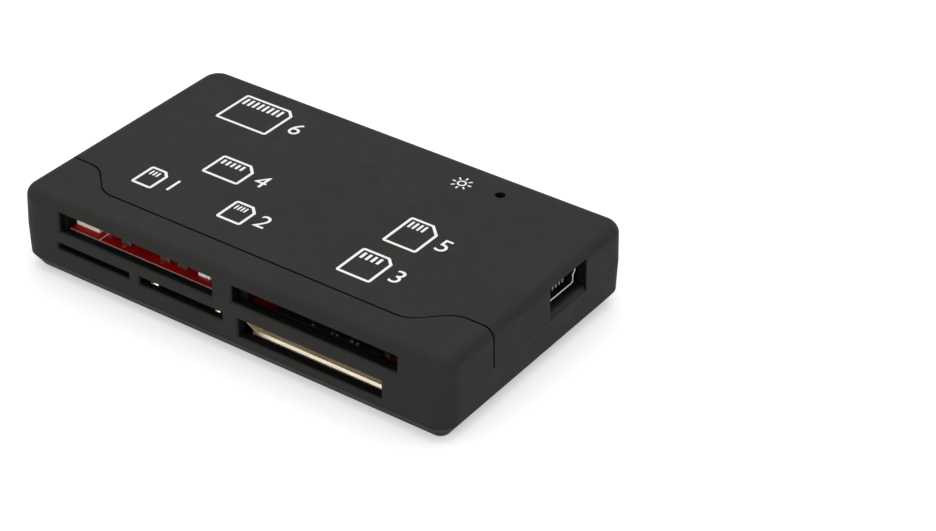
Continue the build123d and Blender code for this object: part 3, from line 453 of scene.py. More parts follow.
def unshaded_skin(tree):
    """One on the case's outer faces and nought in its mouths and seams, where shade is painted.

    It goes by the distance from a core with round corners, and by the way that a face looks.
    """
    normal = tree.nodes.new("ShaderNodeNewGeometry").outputs["Normal"]
    from_middle = vector_step(tree, "SUBTRACT", object_place(tree), (0, 0, CORE_Z))
    spread = vector_step(tree, "ABSOLUTE", from_middle)
    beyond = vector_step(tree, "SUBTRACT", spread, CORE_HALF)
    outside = vector_step(tree, "MAXIMUM", beyond)
    weighed = vector_step(tree, "MULTIPLY", outside, CORE_WEIGHT)
    upwards = vector_step(tree, "MULTIPLY", normal, (0, 0, 1))
    flat = vector_step(tree, "ADD", upwards, (1, 1, 0))
    facing = tree.nodes.new("ShaderNodeVectorMath")
    facing.operation = "MULTIPLY"
    wire(tree, weighed, facing.inputs[0])
    wire(tree, flat, facing.inputs[1])
    reach = tree.nodes.new("ShaderNodeVectorMath")
    reach.operation = "LENGTH"
    wire(tree, facing.outputs["Vector"], reach.inputs[0])
    skin = ramp(tree, reach.outputs["Value"], SKIN_FROM, SKIN_TO)
    across = axis_part(tree, vector_step(tree, "ABSOLUTE", normal), "Y")
    turned = ramp(tree, across, *FACES_Y, 1, 0)
    outer = ramp(tree, axis_part(tree, spread, "Y"), *INNER_Y)
    return number_step(tree, "MULTIPLY", skin, number_step(tree, "MAXIMUM", turned, outer))


def soft_touch_coat(case):
    """Dull black coat with a fine grain and a faint brown cloud, and painted shade in the mouths, seams and
    the port's notch.
    """
    material, tree, shader = new_finish("soft_touch_coat")
    cloud = between(tree, object_noise(tree, 9 * MM, 3), 0, 1)
    light = shade(case.colour, 1.06)
    dark = (case.colour[0] * 0.96, case.colour[1] * 0.93, case.colour[2] * 0.9)
    skin = unshaded_skin(tree)
    coat = two_tone(tree, cloud, dark, light)
    # Painted shade: the near-black colour where the mask is nought, in the mouths, seams and notch
    wire(tree, two_tone(tree, skin, case.bare, coat), shader.inputs["Base Color"])
    dull = between(tree, object_noise(tree, 2.5 * MM, 4), case.roughness - 0.04, case.roughness + 0.04)
    wire(tree, dull, shader.inputs["Roughness"])
    shader.inputs["Specular IOR Level"].default_value = case.gloss
    raise_grain(tree, shader, object_noise(tree, case.grain_size, 3), case.grain_depth)
    return material


def solder_mask(board):
    """Red mask with painted shade over its right half and at its ends, and a bare front edge."""
    material, tree, shader = new_finish("solder_mask")
    depth = between(tree, object_noise(tree, 3 * MM, 4), 0, 1)
    mask = two_tone(tree, depth, shade(board.mask, 0.8), shade(board.mask, 1.15))
    place = object_place(tree)
    # Painted shade: darker mask over the right half, where the upper right mouth's board lies in shade
    right_shade = ramp(tree, axis_part(tree, place, "X"), *RIGHT_SHADE_EDGE)
    mask = two_tone(tree, right_shade, mask, shade(board.mask, RIGHT_SHADE_SHARE))
    from_middle = axis_part(tree, vector_step(tree, "ABSOLUTE", place), "X")
    # Painted shade: near-black mask at both ends of the board, by the cable port
    mask = two_tone(tree, ramp(tree, from_middle, *END_SHADE_EDGE), mask, board.end_shade)
    fibre = between(tree, object_noise(tree, 0.3 * MM, 2, (1, 1, 4)), 0, 1)
    edge = two_tone(tree, fibre, shade(board.edge, 0.85), shade(board.edge, 1.1))
    side = tree.nodes.new("ShaderNodeNewGeometry")
    front = ramp(tree, axis_part(tree, side.outputs["Normal"], "Y"), 0, -1)
    wire(tree, two_tone(tree, front, mask, edge), shader.inputs["Base Color"])
    wire(tree, between(tree, object_noise(tree, 1.2 * MM, 3), 0.22, 0.36), shader.inputs["Roughness"])
    shader.inputs["Specular IOR Level"].default_value = MASK_GLOSS
    raise_grain(tree, shader, object_noise(tree, 0.25 * MM, 3), 0.004 * MM)
    return material


def covered_copper(board):
    """Mask over a copper track, a little lighter than on bare laminate."""
    material, tree, shader = new_finish("covered_copper")
    depth = between(tree, object_noise(tree, 1.5 * MM, 3), 0, 1)
    wire(tree, two_tone(tree, depth, shade(board.copper, 0.85), board.copper), shader.inputs["Base Color"])
    wire(tree, between(tree, object_noise(tree, 0.8 * MM, 2), 0.2, 0.32), shader.inputs["Roughness"])
    return material


def sheet_metal(name, colour, rough, stretch, metallic=1.0):
    """Plated sheet with rolling lines."""
    material, tree, shader = new_finish(name)
    lines = object_noise(tree, 0.6 * MM, 4, stretch)
    cloud = between(tree, object_noise(tree, 2.2 * MM, 3), 0, 1)
    wire(tree, two_tone(tree, cloud, shade(colour, 0.88), colour), shader.inputs["Base Color"])
    wire(tree, between(tree, lines, *rough), shader.inputs["Roughness"])
    shader.inputs["Metallic"].default_value = metallic
    raise_grain(tree, shader, lines, 0.002 * MM)
    return material


def painted_shade_sheet(colour):
    """Tinned sheet painted brownish near the mouth as shade of the floor behind the lip, fading to painted
    dark shade further in.
    """
    material, tree, shader = new_finish("painted_shade_sheet")
    lines = object_noise(tree, 0.6 * MM, 4, SHEET_ROLL)
    cloud = between(tree, object_noise(tree, 2.2 * MM, 3), 0, 1)
    brown_shade = two_tone(tree, cloud, shade(colour, 0.88), colour)
    depth = ramp(tree, axis_part(tree, object_place(tree), "Y"), *SHADE_FADE_EDGE)
    # Painted shade: the colour grows darker further into the socket
    wire(tree, two_tone(tree, depth, brown_shade, shade(colour, 0.1)), shader.inputs["Base Color"])
    wire(tree, between(tree, lines, *RESIN_ROUGH), shader.inputs["Roughness"])
    shader.inputs["Metallic"].default_value = DULL_METAL
    raise_grain(tree, shader, lines, 0.002 * MM)
    return material


def black_resin(name, colour, rough):
    """Moulded black resin with flow marks."""
    material, tree, shader = new_finish(name)
    flow = between(tree, object_noise(tree, 1.5 * MM, 4, (1, 0.4, 1)), 0, 1)
    wire(tree, two_tone(tree, flow, shade(colour, 0.8), shade(colour, 1.25)), shader.inputs["Base Color"])
    wire(tree, between(tree, object_noise(tree, 0.5 * MM, 3), *rough), shader.inputs["Roughness"])
    shader.inputs["Specular IOR Level"].default_value = RESIN_GLOSS
    raise_grain(tree, shader, object_noise(tree, 0.08 * MM, 2), 0.003 * MM)
    return material


def pale_resin(name, colour):
    """Cream resin with a warm cloud and a fine pitted skin."""
    material, tree, shader = new_finish(name)
    cloud = between(tree, object_noise(tree, 0.9 * MM, 3), 0, 1)
    wire(tree, two_tone(tree, cloud, shade(colour, 0.86), shade(colour, 1.06)), shader.inputs["Base Color"])
    wire(tree, between(tree, object_noise(tree, 0.4 * MM, 2), 0.4, 0.6), shader.inputs["Roughness"])
    raise_grain(tree, shader, object_noise(tree, 0.1 * MM, 2), 0.004 * MM)
    return material


def speckled(name, colour, fleck, rough):
    """A body colour with small flecks, for ceramic and moulding compound."""
    material, tree, shader = new_finish(name)
    flecks = between(tree, object_noise(tree, 0.12 * MM, 2), 0, 1)
    wire(tree, two_tone(tree, flecks, colour, fleck), shader.inputs["Base Color"])
    wire(tree, between(tree, object_noise(tree, 0.5 * MM, 2), *rough), shader.inputs["Roughness"])
    raise_grain(tree, shader, flecks, 0.002 * MM)
    return material


def lamp_lens(colour):
    """Milky clear resin."""
    material, tree, shader = new_finish("lamp_lens")
    cloud = between(tree, object_noise(tree, 0.7 * MM, 2), 0, 1)
    wire(tree, two_tone(tree, cloud, shade(colour, 0.8), colour), shader.inputs["Base Color"])
    wire(tree, between(tree, object_noise(tree, 0.4 * MM, 2), 0.12, 0.25), shader.inputs["Roughness"])
    shader.inputs["Transmission Weight"].default_value = LENS_CLEAR
    return material


def printed_ink(name, colour):
    """Screen-printed ink: slightly uneven cover and a dry surface."""
    material, tree, shader = new_finish(name)
    cover = between(tree, object_noise(tree, 0.35 * MM, 4), 0, 1)
    wire(tree, two_tone(tree, cover, shade(colour, 0.9), colour), shader.inputs["Base Color"])
    wire(tree, between(tree, object_noise(tree, 0.2 * MM, 2), 0.45, 0.65), shader.inputs["Roughness"])
    raise_grain(tree, shader, object_noise(tree, 0.12 * MM, 2), 0.003 * MM)
    return material


def dress(material, *nodes):
    """Gives CAD nodes a finish."""
    for node in nodes:
        if node not in frame["nodes"]:
            raise RuntimeError(f"the frame has no node named {node}")
        mesh = frame["nodes"][node].data
        mesh.materials.clear()
        mesh.materials.append(material)


def add_piece(name, shape, material):
    """Makes a new piece of the object from a bmesh, which is freed."""
    bmesh.ops.recalc_face_normals(shape, faces=shape.faces)
    mesh = bpy.data.meshes.new(name)
    shape.to_mesh(mesh)
    shape.free()
    mesh.materials.append(material)
    piece = bpy.data.objects.new(name, mesh)
    bpy.context.scene.collection.objects.link(piece)
    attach(piece, "root")
    return piece


def thicken(shape, faces, step):
    """Grows flat faces into solid plates along a step."""
    grown = bmesh.ops.extrude_face_region(shape, geom=faces, use_keep_orig=True)
    far = [g for g in grown["geom"] if isinstance(g, bmesh.types.BMVert)]
    bmesh.ops.translate(shape, verts=far, vec=step)


def hollow_out(shape, face, wall):
    """Turns a flat face into a frame with a wall and returns the frame's faces."""
    rim = bmesh.ops.inset_region(
        shape, faces=[face], thickness=wall, use_boundary=True, use_even_offset=True
    )["faces"]
    bmesh.ops.delete(shape, geom=[face], context="FACES")
    return rim


def raised_ring(shape, x, y, z, radius, wall, height):
    """A flat ring on a surface."""
    disc = bmesh.ops.create_circle(
        shape, cap_ends=True, segments=32, radius=radius, matrix=Matrix.Translation((x, y, z))
    )
    face = disc["verts"][0].link_faces[0]
    thicken(shape, hollow_out(shape, face, wall), (0, 0, height))


def raised_bar(shape, low, high):
    """A plain bar between two corners."""
    middle = (Vector(low) + Vector(high)) / 2
    size = Vector(high) - Vector(low)
    place = Matrix.Translation(middle) @ Matrix.Diagonal((*size, 1))
    return bmesh.ops.create_cube(shape, size=1, matrix=place)["verts"]


def swept_faces(shape, ends, steps):
    """The faces that an edge between two ends leaves behind as it takes steps."""
    edge = shape.edges.new([shape.verts.new(end) for end in ends])
    faces = []
    for step in steps:
        grown = bmesh.ops.extrude_edge_only(shape, edges=[edge])["geom"]
        verts = [g for g in grown if isinstance(g, bmesh.types.BMVert)]
        bmesh.ops.translate(shape, verts=verts, vec=step)
        edges = [g for g in grown if isinstance(g, bmesh.types.BMEdge)]
        edge = next(e for e in edges if set(e.verts) == set(verts))
        faces += [g for g in grown if isinstance(g, bmesh.types.BMFace)]
    return faces


def raised_track(shape, points, width, z, height):
    """A flat ribbon through points in plan, raised to a height. It runs mostly along Y."""
    x, y = points[0]
    ends = [(x + s * width / 2, y, z) for s in (-1, 1)]
    steps = [(b[0] - a[0], b[1] - a[1], 0) for a, b in zip(points, points[1:])]
    thicken(shape, swept_faces(shape, ends, steps), (0, 0, height))


def refined_copy(node):
    """A merged copy of a CAD node's mesh with its flat faces joined up, to be shaped further."""
    shape = bmesh.new()
    shape.from_mesh(frame["nodes"][node].data)
    bmesh.ops.remove_doubles(shape, verts=shape.verts, dist=WELD)
    bmesh.ops.dissolve_limit(shape, angle_limit=FLAT_ANGLE, verts=shape.verts, edges=shape.edges)
    return shape


def shade_to_folds(shape):
    """Shades a shape smooth up to its folds."""
    for face in shape.faces:
        face.smooth = True
    for edge in shape.edges:
        edge.smooth = edge.calc_face_angle(0) < FOLD_ANGLE


def round_over(shape, edges, radius):
    """Rounds edges, and shades the shape smooth up to its folds."""
    bmesh.ops.bevel(
        shape,
        geom=edges,
        offset=radius,
        segments=5,
        profile=0.5,
        affect="EDGES",
        clamp_overlap=True,
        material=-1,
    )
    shade_to_folds(shape)


def bent_strip(shape, x0, x1, path, wall):
    """A sheet strip between two places along X that follows a path in Y and Z."""
    steps = [(0, b[0] - a[0], b[1] - a[1]) for a, b in zip(path, path[1:])]
    faces = swept_faces(shape, [(x, *path[0]) for x in (x0, x1)], steps)
    for face in faces:
        face.smooth = True
    bmesh.ops.solidify(shape, geom=faces, thickness=wall)


def solid_boxes(node):
    """Lowest and highest corner of each separate solid of a CAD node."""
    shape = bmesh.new()
    shape.from_mesh(frame["nodes"][node].data)
    bmesh.ops.remove_doubles(shape, verts=shape.verts, dist=WELD)
    seen = set()
    boxes = []
    for start in shape.verts:
        if start.index in seen:
            continue
        seen.add(start.index)
        stack = [start]
        points = []
        while stack:
            vert = stack.pop()
            points.append(vert.co.copy())
            for edge in vert.link_edges:
                other = edge.other_vert(vert)
                if other.index not in seen:
                    seen.add(other.index)
                    stack.append(other)
        low = Vector([min(p[i] for p in points) for i in range(3)])
        high = Vector([max(p[i] for p in points) for i in range(3)])
        boxes.append((low, high))
    shape.free()
    return boxes


class READER_OT_case(Operator):
    """Finish the covers and the bezel"""

    bl_idname = "reader.case"
    bl_label = "Case"

    def execute(self, context):
        coat = soft_touch_coat(context.scene.reader_case)
        dress(coat, "top_cover", "bottom_cover", "front_bezel")
        self.port_sill(coat)
        return {"FINISHED"}

    def port_sill(self, finish):
        """Slope from the side's edge up to the cable port."""
        shape = bmesh.new()
        start, end = (y * MM for y in SILL_ENDS)
        section = [shape.verts.new((x * MM, start, z * MM)) for x, z in SILL_SECTION]
        thicken(shape, [shape.faces.new(section)], (0, end - start, 0))
        shade_to_folds(shape)
        add_piece("port_sill", shape, finish)


class READER_OT_board(Operator):
    """Finish the board and add its tracks, plated holes and printed lines"""

    bl_idname = "reader.board"
    bl_label = "Board"

    def execute(self, context):
        board = context.scene.reader_board
        dress(solder_mask(board), "circuit_board")
        z = BOARD_TOP - SINK
        front = BOARD_LOW.y
        holes = [(x * MM, front + set_back * MM) for x, set_back in HOLE_PLACES]
        tracks = bmesh.new()
        for i, (x, y) in enumerate(holes):
            jog = TRACK_JOG if i % 2 else -TRACK_JOG
            points = [
                (x, y),
                (x, y + TRACK_RUN),
                (x + jog, y + TRACK_RUN + TRACK_JOG),
                (x + jog, y + TRACK_END),
            ]
            raised_track(tracks, points, board.track_w, z, board.track_h)
        add_piece("board_tracks", tracks, covered_copper(board))
        rings = bmesh.new()
        for x, y in holes:
            wall = board.ring_r * RING_WALL
            raised_ring(rings, x, y, z, board.ring_r, wall, RING_RISE * board.track_h)
        gold = sheet_metal("plated_ring", context.scene.reader_metal.gold, SOLDER_ROUGH, NO_ROLL)
        add_piece("board_rings", rings, gold)
        silk = bmesh.new()
        for x, near, far in SILK_LINES:
            half = board.silk_w / 2
            low = (x * MM - half, front + near * MM, z)
            high = (x * MM + half, front + far * MM, z + board.track_h)
            raised_bar(silk, low, high)
        add_piece("board_print", silk, printed_ink("board_ink", BOARD_INK))
        return {"FINISHED"}


class READER_OT_sockets(Operator):
    """Finish the card sockets and the rear header"""

    bl_idname = "reader.sockets"
    bl_label = "Sockets"

    def execute(self, context):
        metal = context.scene.reader_metal
        # Partly own black, partly painted shade: the resin is darker than its recorded colour
        resin = black_resin("socket_resin", shade(SLOT_COLOUR["socket_plastic"], RESIN_SHARE), RESIN_ROUGH)
        dress(
            resin,
            "wide_slot_frame",
            "picture_slot_frame",
            "stick_slot_insulator",
            "micro_slot_insulator",
            "mini_slot_insulator",
            "rear_header_body",
        )
        tinned = sheet_metal("tinned_sheet", metal.tinned, TINNED_ROUGH, SHEET_ROLL)
        dress(tinned, "stick_slot_shell", "micro_slot_shell", "mini_slot_shell", "card_switch_lever")
        self.rounded_fold(tinned, painted_shade_sheet(metal.tan))
        self.mini_tabs(tinned)
        self.contact_tails(tinned)
        gold = sheet_metal("gold_spring", metal.gold, SPRING_ROUGH, SPRING_ROLL)
        dress(
            gold,
            "wide_slot_contacts",
            "picture_slot_contacts",
            "stick_slot_contacts",
            "micro_slot_contacts",
            "mini_slot_contacts",
            "rear_header_pins",
        )
        return {"FINISHED"}

    def rounded_fold(self, bright, tan):
        """The lower right shell with its bright front lip folded over a radius, and painted brownish shade
        on the faces behind it.
        """
        shape = refined_copy("stick_slot_shell")
        folds = [e for e in shape.edges if e.calc_face_angle(0) > FOLD_ANGLE and self.slopes(e)]
        if not folds:
            raise RuntimeError("the stick shell has no folded lip")
        round_over(shape, folds, LIP_FOLD_R)
        # The lip's faces keep the bright sheet, and all others get the painted shade
        for face in shape.faces:
            lip = face.normal.y < LIP_FACING and face.normal.z > LIP_RISING
            face.material_index = 0 if lip else 1
        piece = add_piece("stick_shell_folded", shape, bright)
        piece.data.materials.append(tan)
        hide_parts("stick_slot_shell")

    def slopes(self, edge):
        """Whether both faces at an edge look up or both look down."""
        heights = [f.normal.z for f in edge.link_faces]
        return min(abs(h) for h in heights) > FOLD_SLOPE and heights[0] * heights[-1] > 0

    def mini_tabs(self, finish):
        """Spring tabs at both ends of the lower middle shell's front, which press on a card."""
        shape = bmesh.new()
        path = [(y * MM, z * MM) for y, z in TAB_PATH]
        for x0, x1 in MINI_TABS:
            bent_strip(shape, x0 * MM, x1 * MM, path, TAB_WALL)
        add_piece("mini_slot_tabs", shape, finish)

    def contact_tails(self, finish):
        """Ends of the upper right socket's contacts, let into the top of its frame."""
        shape = bmesh.new()
        low, high = (Vector(corner) * MM for corner in TAIL_BOX)
        for x in TAIL_PLACES:
            raised_bar(shape, low + Vector((x * MM, 0, 0)), high + Vector((x * MM, 0, 0)))
        add_piece("wide_contact_tails", shape, finish)


class READER_OT_port(Operator):
    """Finish the cable port"""

    bl_idname = "reader.port"
    bl_label = "Cable port"

    def execute(self, context):
        metal = context.scene.reader_metal
        nickel = sheet_metal("nickel_sheet", metal.nickel, NICKEL_ROUGH, PORT_ROLL)
        dress(nickel, "usb_port_shell", "crystal_can")
        self.rounded_rim(nickel, sheet_metal("painted_shade_nickel", metal.painted_shade_nickel, DULL_ROUGH, PORT_ROLL))
        # Partly own black, partly painted shade: the resin is darker than its recorded colour
        resin = black_resin("port_resin", shade(SLOT_COLOUR["socket_plastic"], RESIN_SHARE), DULL_ROUGH)
        dress(resin, "usb_port_insulator")
        dress(sheet_metal("port_gold", metal.gold, PORT_GOLD_ROUGH, PORT_GOLD_ROLL), "usb_port_contacts")
        # Painted shade: the tips are a darkened copy of the tinned leads
        tip = sheet_metal("dim_tip", shade(metal.solder, TIP_SHARE), DULL_ROUGH, NO_ROLL, DULL_METAL)
        self.contact_tips(tip)
        return {"FINISHED"}

    def contact_tips(self, finish):
        """Ends of the five contacts, below the front of the tongue."""
        shape = bmesh.new()
        for low, high in solid_boxes("usb_port_contacts"):
            tip = Vector((high.x - TIP_T, low.y, low.z - TIP_L))
            raised_bar(shape, tip, (high.x, high.y, low.z + SINK))
        add_piece("port_contact_tips", shape, finish)

    def rounded_rim(self, nickel, dull):
        """The port's shell with a rounded rim, and painted shade on its inside faces."""
        low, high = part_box("usb_port_shell")
        shape = refined_copy("usb_port_shell")
        rim = [
            e for e in shape.edges
            if all(high.x - v.co.x < WELD for v in e.verts) and e.calc_face_angle(0) > FOLD_ANGLE
        ]
        if not rim:
            raise RuntimeError("the port's shell has no rim")
        round_over(shape, rim, RIM_R)
        middle = Vector((0, (low.y + high.y) / 2, (BOARD_TOP + high.z) / 2))
        # Faces inside the shell get the painted shade
        for face in shape.faces:
            outwards = face.calc_center_median() - middle
            outwards.x = 0
            inside = face.normal.dot(outwards) < 0 and abs(face.normal.x) < RIM_FACING
            face.material_index = 1 if inside else 0
        piece = add_piece("port_shell_rounded", shape, nickel)
        piece.data.materials.append(dull)
        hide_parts("usb_port_shell")


class READER_OT_board_parts(Operator):
    """Finish the chips and small parts, and solder them down"""

    bl_idname = "reader.board_parts"
    bl_label = "Board parts"

    def execute(self, context):
        metal = context.scene.reader_metal
        black = SLOT_COLOUR["chip_plastic"]
        compound = speckled("moulding_compound", black, COMPOUND_FLECK, COMPOUND_ROUGH)
        dress(compound, "controller_chip", "regulator_body")
        lead = sheet_metal("tinned_lead", metal.solder, LEAD_ROUGH, NO_ROLL)
        dress(lead, "controller_leads", "regulator_leads")
        # Painted shade: the ends of the small parts in dark grey
        dress(sheet_metal("painted_shade_tin", metal.painted_shade_tin, DULL_ROUGH, NO_ROLL), "chip_terminals")
        dress(pale_resin("cream_resin", CREAM_RESIN), "card_switch_body")
        dress(pale_resin("white_ceramic", WHITE_CERAMIC), "resistor_network")
        ceramic = speckled("dark_ceramic", DARK_CERAMIC, CERAMIC_FLECK, CERAMIC_ROUGH)
        dress(ceramic, "chip_capacitors")
        glass = speckled("black_glass", SLOT_COLOUR["resistor_body"], GLASS_FLECK, GLASS_ROUGH)
        dress(glass, "chip_resistors")
        dress(lamp_lens(SLOT_COLOUR["lamp_lens"]), "indicator_led")
        joints = bmesh.new()
        for low, high in solid_boxes("chip_terminals"):
            foot = Vector((SOLDER_OUT, SOLDER_OUT, 0))
            verts = raised_bar(joints, low - foot - Vector((0, 0, SINK)), high + foot)
            middle = (low + high) / 2
            rise = (high.z - low.z) * SOLDER_RISE
            for vert in verts:
                if vert.co.z > middle.z:
                    vert.co.x += math.copysign(SOLDER_OUT - SINK, middle.x - vert.co.x)
                    vert.co.y += math.copysign(SOLDER_OUT - SINK, middle.y - vert.co.y)
                    vert.co.z = low.z + rise
        # Painted shade: the solder joints in dark grey
        solder = sheet_metal("solder", metal.painted_shade_tin, SOLDER_ROUGH, NO_ROLL)
        add_piece("solder_joints", joints, solder)
        return {"FINISHED"}


class READER_OT_top_marks(Operator):
    """Print numbered card outlines and a lamp mark on the top cover"""

    bl_idname = "reader.top_marks"
    bl_label = "Top marks"

    def execute(self, context):
        marks = context.scene.reader_marks
        shape = bmesh.new()
        for mark in CARD_MARKS:
            self.card(shape, marks, *mark)
        for number, x, y in DIGITS:
            self.digit(shape, marks, number, x * MM, y * MM)
        x, y = (c * MM for c in LAMP_MARK)
        wall = LAMP_RING_WALL * marks.stroke
        raised_ring(shape, x, y, TOP_Z - SINK, LAMP_RING_R, wall, marks.film)
        for turn in range(LAMP_RAYS):
            self.ray(shape, marks, x, y, turn * math.tau / LAMP_RAYS)
        add_piece("top_marks", shape, printed_ink("top_ink", marks.ink))
        return {"FINISHED"}

    def card(self, shape, marks, x, y, width, height, clip, bars):
        """Outline of a card with one clipped corner and a row of contact bars."""
        x, y, width, height, clip = (v * MM for v in (x, y, width, height, clip))
        place = Matrix.Translation((x, y, TOP_Z - SINK)) @ Matrix.Diagonal((width / 2, height / 2, 1, 1))
        verts = bmesh.ops.create_grid(shape, x_segments=1, y_segments=1, size=1, matrix=place)["verts"]
        corner = max(verts, key=lambda v: v.co.x + v.co.y)
        rest = [v for v in verts if v is not corner]
        bmesh.ops.bevel(
            shape, geom=[corner], offset=clip, segments=1, profile=0.5, affect="VERTICES", material=-1
        )
        bmesh.ops.bevel(
            shape, geom=rest, offset=marks.stroke, segments=4, profile=0.5, affect="VERTICES", material=-1
        )
        face = self.flat_face(shape, x, y, max(width, height))
        thicken(shape, hollow_out(shape, face, marks.stroke), (0, 0, marks.film))
        pitch = (width - clip - 2 * marks.stroke) / bars
        for i in range(bars):
            left = x - width / 2 + 2 * marks.stroke + i * pitch
            top = y + height / 2 - 2 * marks.stroke
            low = (left, top - BAR_SHARE * height, TOP_Z - SINK)
            raised_bar(shape, low, (left + pitch / 2, top, TOP_Z - SINK + marks.film))

    def flat_face(self, shape, x, y, reach):
        """The one flat face about a place that isn't raised yet."""
        place = Vector((x, y, TOP_Z))
        near = [f for f in shape.faces if (f.calc_center_median() - place).length < reach / 4]
        return max(near, key=lambda f: f.calc_area())

    def digit(self, shape, marks, number, x, y):
        """A plain number."""
        curve = bpy.data.curves.new("digit", "FONT")
        curve.body = number
        curve.size = marks.digit
        curve.align_x = "CENTER"
        curve.align_y = "CENTER"
        curve.resolution_u = 6
        carrier = bpy.data.objects.new("digit", curve)
        bpy.context.scene.collection.objects.link(carrier)
        bpy.context.view_layer.update()
        drawn = carrier.evaluated_get(bpy.context.evaluated_depsgraph_get())
        flat = bpy.data.meshes.new_from_object(drawn)
        flat.transform(Matrix.Translation((x, y, TOP_Z - SINK)))
        before = set(shape.faces)
        shape.from_mesh(flat)
        thicken(shape, [f for f in shape.faces if f not in before], (0, 0, marks.film))
        bpy.data.objects.remove(carrier)
        bpy.data.curves.remove(curve)
        bpy.data.meshes.remove(flat)

    def ray(self, shape, marks, x, y, angle):
        """A short stroke that points away from the lamp ring."""
        near, far = (share * LAMP_RING_R for share in RAY_SPAN)
        half = RAY_HALF * marks.stroke
        verts = raised_bar(shape, (near, -half, 0), (far, half, marks.film))
        turn = Matrix.Translation((x, y, TOP_Z - SINK)) @ Matrix.Rotation(angle, 4, "Z")
        bmesh.ops.transform(shape, matrix=turn, verts=verts)


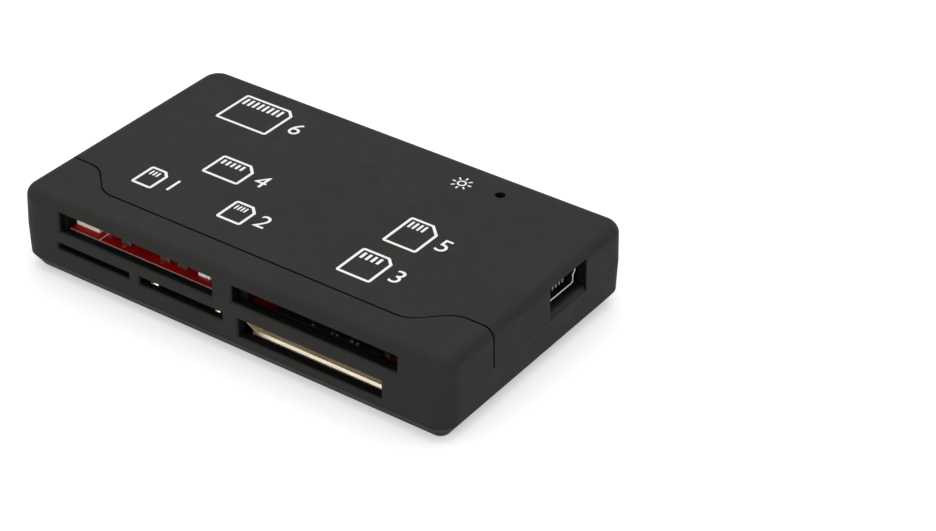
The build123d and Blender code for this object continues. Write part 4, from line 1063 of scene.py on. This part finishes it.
class READER_OT_stage(Operator):
    """Set the floor, the light and the camera"""

    bl_idname = "reader.stage"
    bl_label = "Stage"

    def execute(self, context):
        look = context.scene.reader_stage
        self.floor(look)
        self.world(context.scene, look)
        self.soft_light("overhead_light", look.key, *KEY_LIGHT)
        self.soft_light("front_light", look.fill, *FRONT_LIGHT)
        self.soft_light("side_light", look.side, *SIDE_LIGHT).color = look.warm
        self.camera(context.scene, look)
        context.scene.view_settings.view_transform = "Standard"
        return {"FINISHED"}

    def seen(self, tree):
        """One for light paths that look at the surroundings, nought for those that gather light."""
        path = tree.nodes.new("ShaderNodeLightPath").outputs
        direct = number_step(tree, "MAXIMUM", path["Is Camera Ray"], path["Is Glossy Ray"])
        return number_step(tree, "MAXIMUM", direct, path["Is Transmission Ray"])

    def floor(self, look):
        """Wide white floor that keeps the object's shadow."""
        shape = bmesh.new()
        place = Matrix.Translation((0, 0, -FLOOR_DROP))
        bmesh.ops.create_grid(shape, x_segments=1, y_segments=1, size=FLOOR_HALF, matrix=place)
        mesh = bpy.data.meshes.new("floor")
        shape.to_mesh(mesh)
        shape.free()
        material = bpy.data.materials.new("white_floor")
        material.use_nodes = True
        tree = material.node_tree
        tree.nodes.clear()
        shown = tree.nodes.new("ShaderNodeBsdfDiffuse")
        shown.inputs["Color"].default_value = (look.catch, look.catch, look.catch, 1)
        glow = tree.nodes.new("ShaderNodeEmission")
        glow.inputs["Strength"].default_value = look.glow
        both = tree.nodes.new("ShaderNodeAddShader")
        plain = tree.nodes.new("ShaderNodeBsdfDiffuse")
        plain.inputs["Color"].default_value = (FLOOR_BOUNCE, FLOOR_BOUNCE, FLOOR_BOUNCE, 1)
        choose = tree.nodes.new("ShaderNodeMixShader")
        out = tree.nodes.new("ShaderNodeOutputMaterial")
        wire(tree, shown.outputs["BSDF"], both.inputs[0])
        wire(tree, glow.outputs["Emission"], both.inputs[1])
        wire(tree, self.seen(tree), choose.inputs["Fac"])
        wire(tree, plain.outputs["BSDF"], choose.inputs[1])
        wire(tree, both.outputs["Shader"], choose.inputs[2])
        wire(tree, choose.outputs["Shader"], out.inputs["Surface"])
        mesh.materials.append(material)
        floor = bpy.data.objects.new("floor", mesh)
        bpy.context.scene.collection.objects.link(floor)

    def world(self, scene, look):
        """White surroundings to look at, and an even light from all round."""
        world = bpy.data.worlds.new("surroundings")
        world.use_nodes = True
        scene.world = world
        tree = world.node_tree
        white = tree.nodes["Background"]
        white.inputs["Color"].default_value = (1, 1, 1, 1)
        strength = tree.nodes.new("ShaderNodeMapRange")
        strength.inputs["To Min"].default_value = look.ambient
        strength.inputs["To Max"].default_value = 1.0
        wire(tree, self.seen(tree), strength.inputs["Value"])
        wire(tree, strength.outputs["Result"], white.inputs["Strength"])

    def soft_light(self, name, power, place, size):
        """A square soft light that faces the object."""
        lamp = bpy.data.lights.new(name, "AREA")
        lamp.energy = power
        lamp.size = size
        carrier = bpy.data.objects.new(name, lamp)
        carrier.location = place
        carrier.rotation_euler = Vector(place).to_track_quat("Z", "Y").to_euler()
        bpy.context.scene.collection.objects.link(carrier)
        return lamp

    def camera(self, scene, look):
        """Camera at the measured viewing angle."""
        across = math.cos(look.elevation)
        turn = Vector((math.sin(look.azimuth), -math.cos(look.azimuth), 0))
        back = across * turn + Vector((0, 0, math.sin(look.elevation)))
        level = Vector((math.cos(look.azimuth), math.sin(look.azimuth), 0))
        upright = back.cross(level)
        right = math.cos(look.roll) * level + math.sin(look.roll) * upright
        up = back.cross(right)
        data = bpy.data.cameras.new("camera")
        data.lens = look.lens
        data.sensor_width = SENSOR_W
        data.clip_start = CLIP_NEAR
        data.clip_end = CLIP_FAR
        camera = bpy.data.objects.new("camera", data)
        place = right * look.aim_x + up * look.aim_y + back * look.distance
        axes = Matrix((right, up, back)).transposed().to_4x4()
        camera.matrix_world = Matrix.Translation(place) @ axes
        scene.collection.objects.link(camera)
        scene.camera = camera


class READER_PT_looks(Panel):
    """Looks of the card reader"""

    bl_label = "Card Reader"
    bl_idname = "READER_PT_looks"
    bl_space_type = "VIEW_3D"
    bl_region_type = "UI"
    bl_category = "Card Reader"

    def draw(self, context):
        for group, operators in STEPS:
            box = self.layout.box()
            settings = getattr(context.scene, group)
            for name in settings.__annotations__:
                box.prop(settings, name)
            for operator in operators:
                box.operator(operator.bl_idname)


# Settings with the operators that read them, in the order in which they run
STEPS = (
    ("reader_case", (READER_OT_case,)),
    ("reader_board", (READER_OT_board,)),
    ("reader_metal", (READER_OT_sockets, READER_OT_port, READER_OT_board_parts)),
    ("reader_marks", (READER_OT_top_marks,)),
    ("reader_stage", (READER_OT_stage,)),
)
SETTINGS = {
    "reader_case": CaseFinish,
    "reader_board": BoardFinish,
    "reader_metal": MetalFinish,
    "reader_marks": TopMarks,
    "reader_stage": StageLook,
}
CLASSES = (*SETTINGS.values(), *(o for _, operators in STEPS for o in operators), READER_PT_looks)


def register():
    for cls in CLASSES:
        bpy.utils.register_class(cls)
    for name, cls in SETTINGS.items():
        setattr(bpy.types.Scene, name, PointerProperty(type=cls))


def unregister():
    for name in SETTINGS:
        delattr(bpy.types.Scene, name)
    for cls in reversed(CLASSES):
        bpy.utils.unregister_class(cls)


def main():
    register()
    bpy.ops.reader.case()
    bpy.ops.reader.board()
    bpy.ops.reader.sockets()
    bpy.ops.reader.port()
    bpy.ops.reader.board_parts()
    bpy.ops.reader.top_marks()
    bpy.ops.reader.stage()


if __name__ == "__main__":
    main()
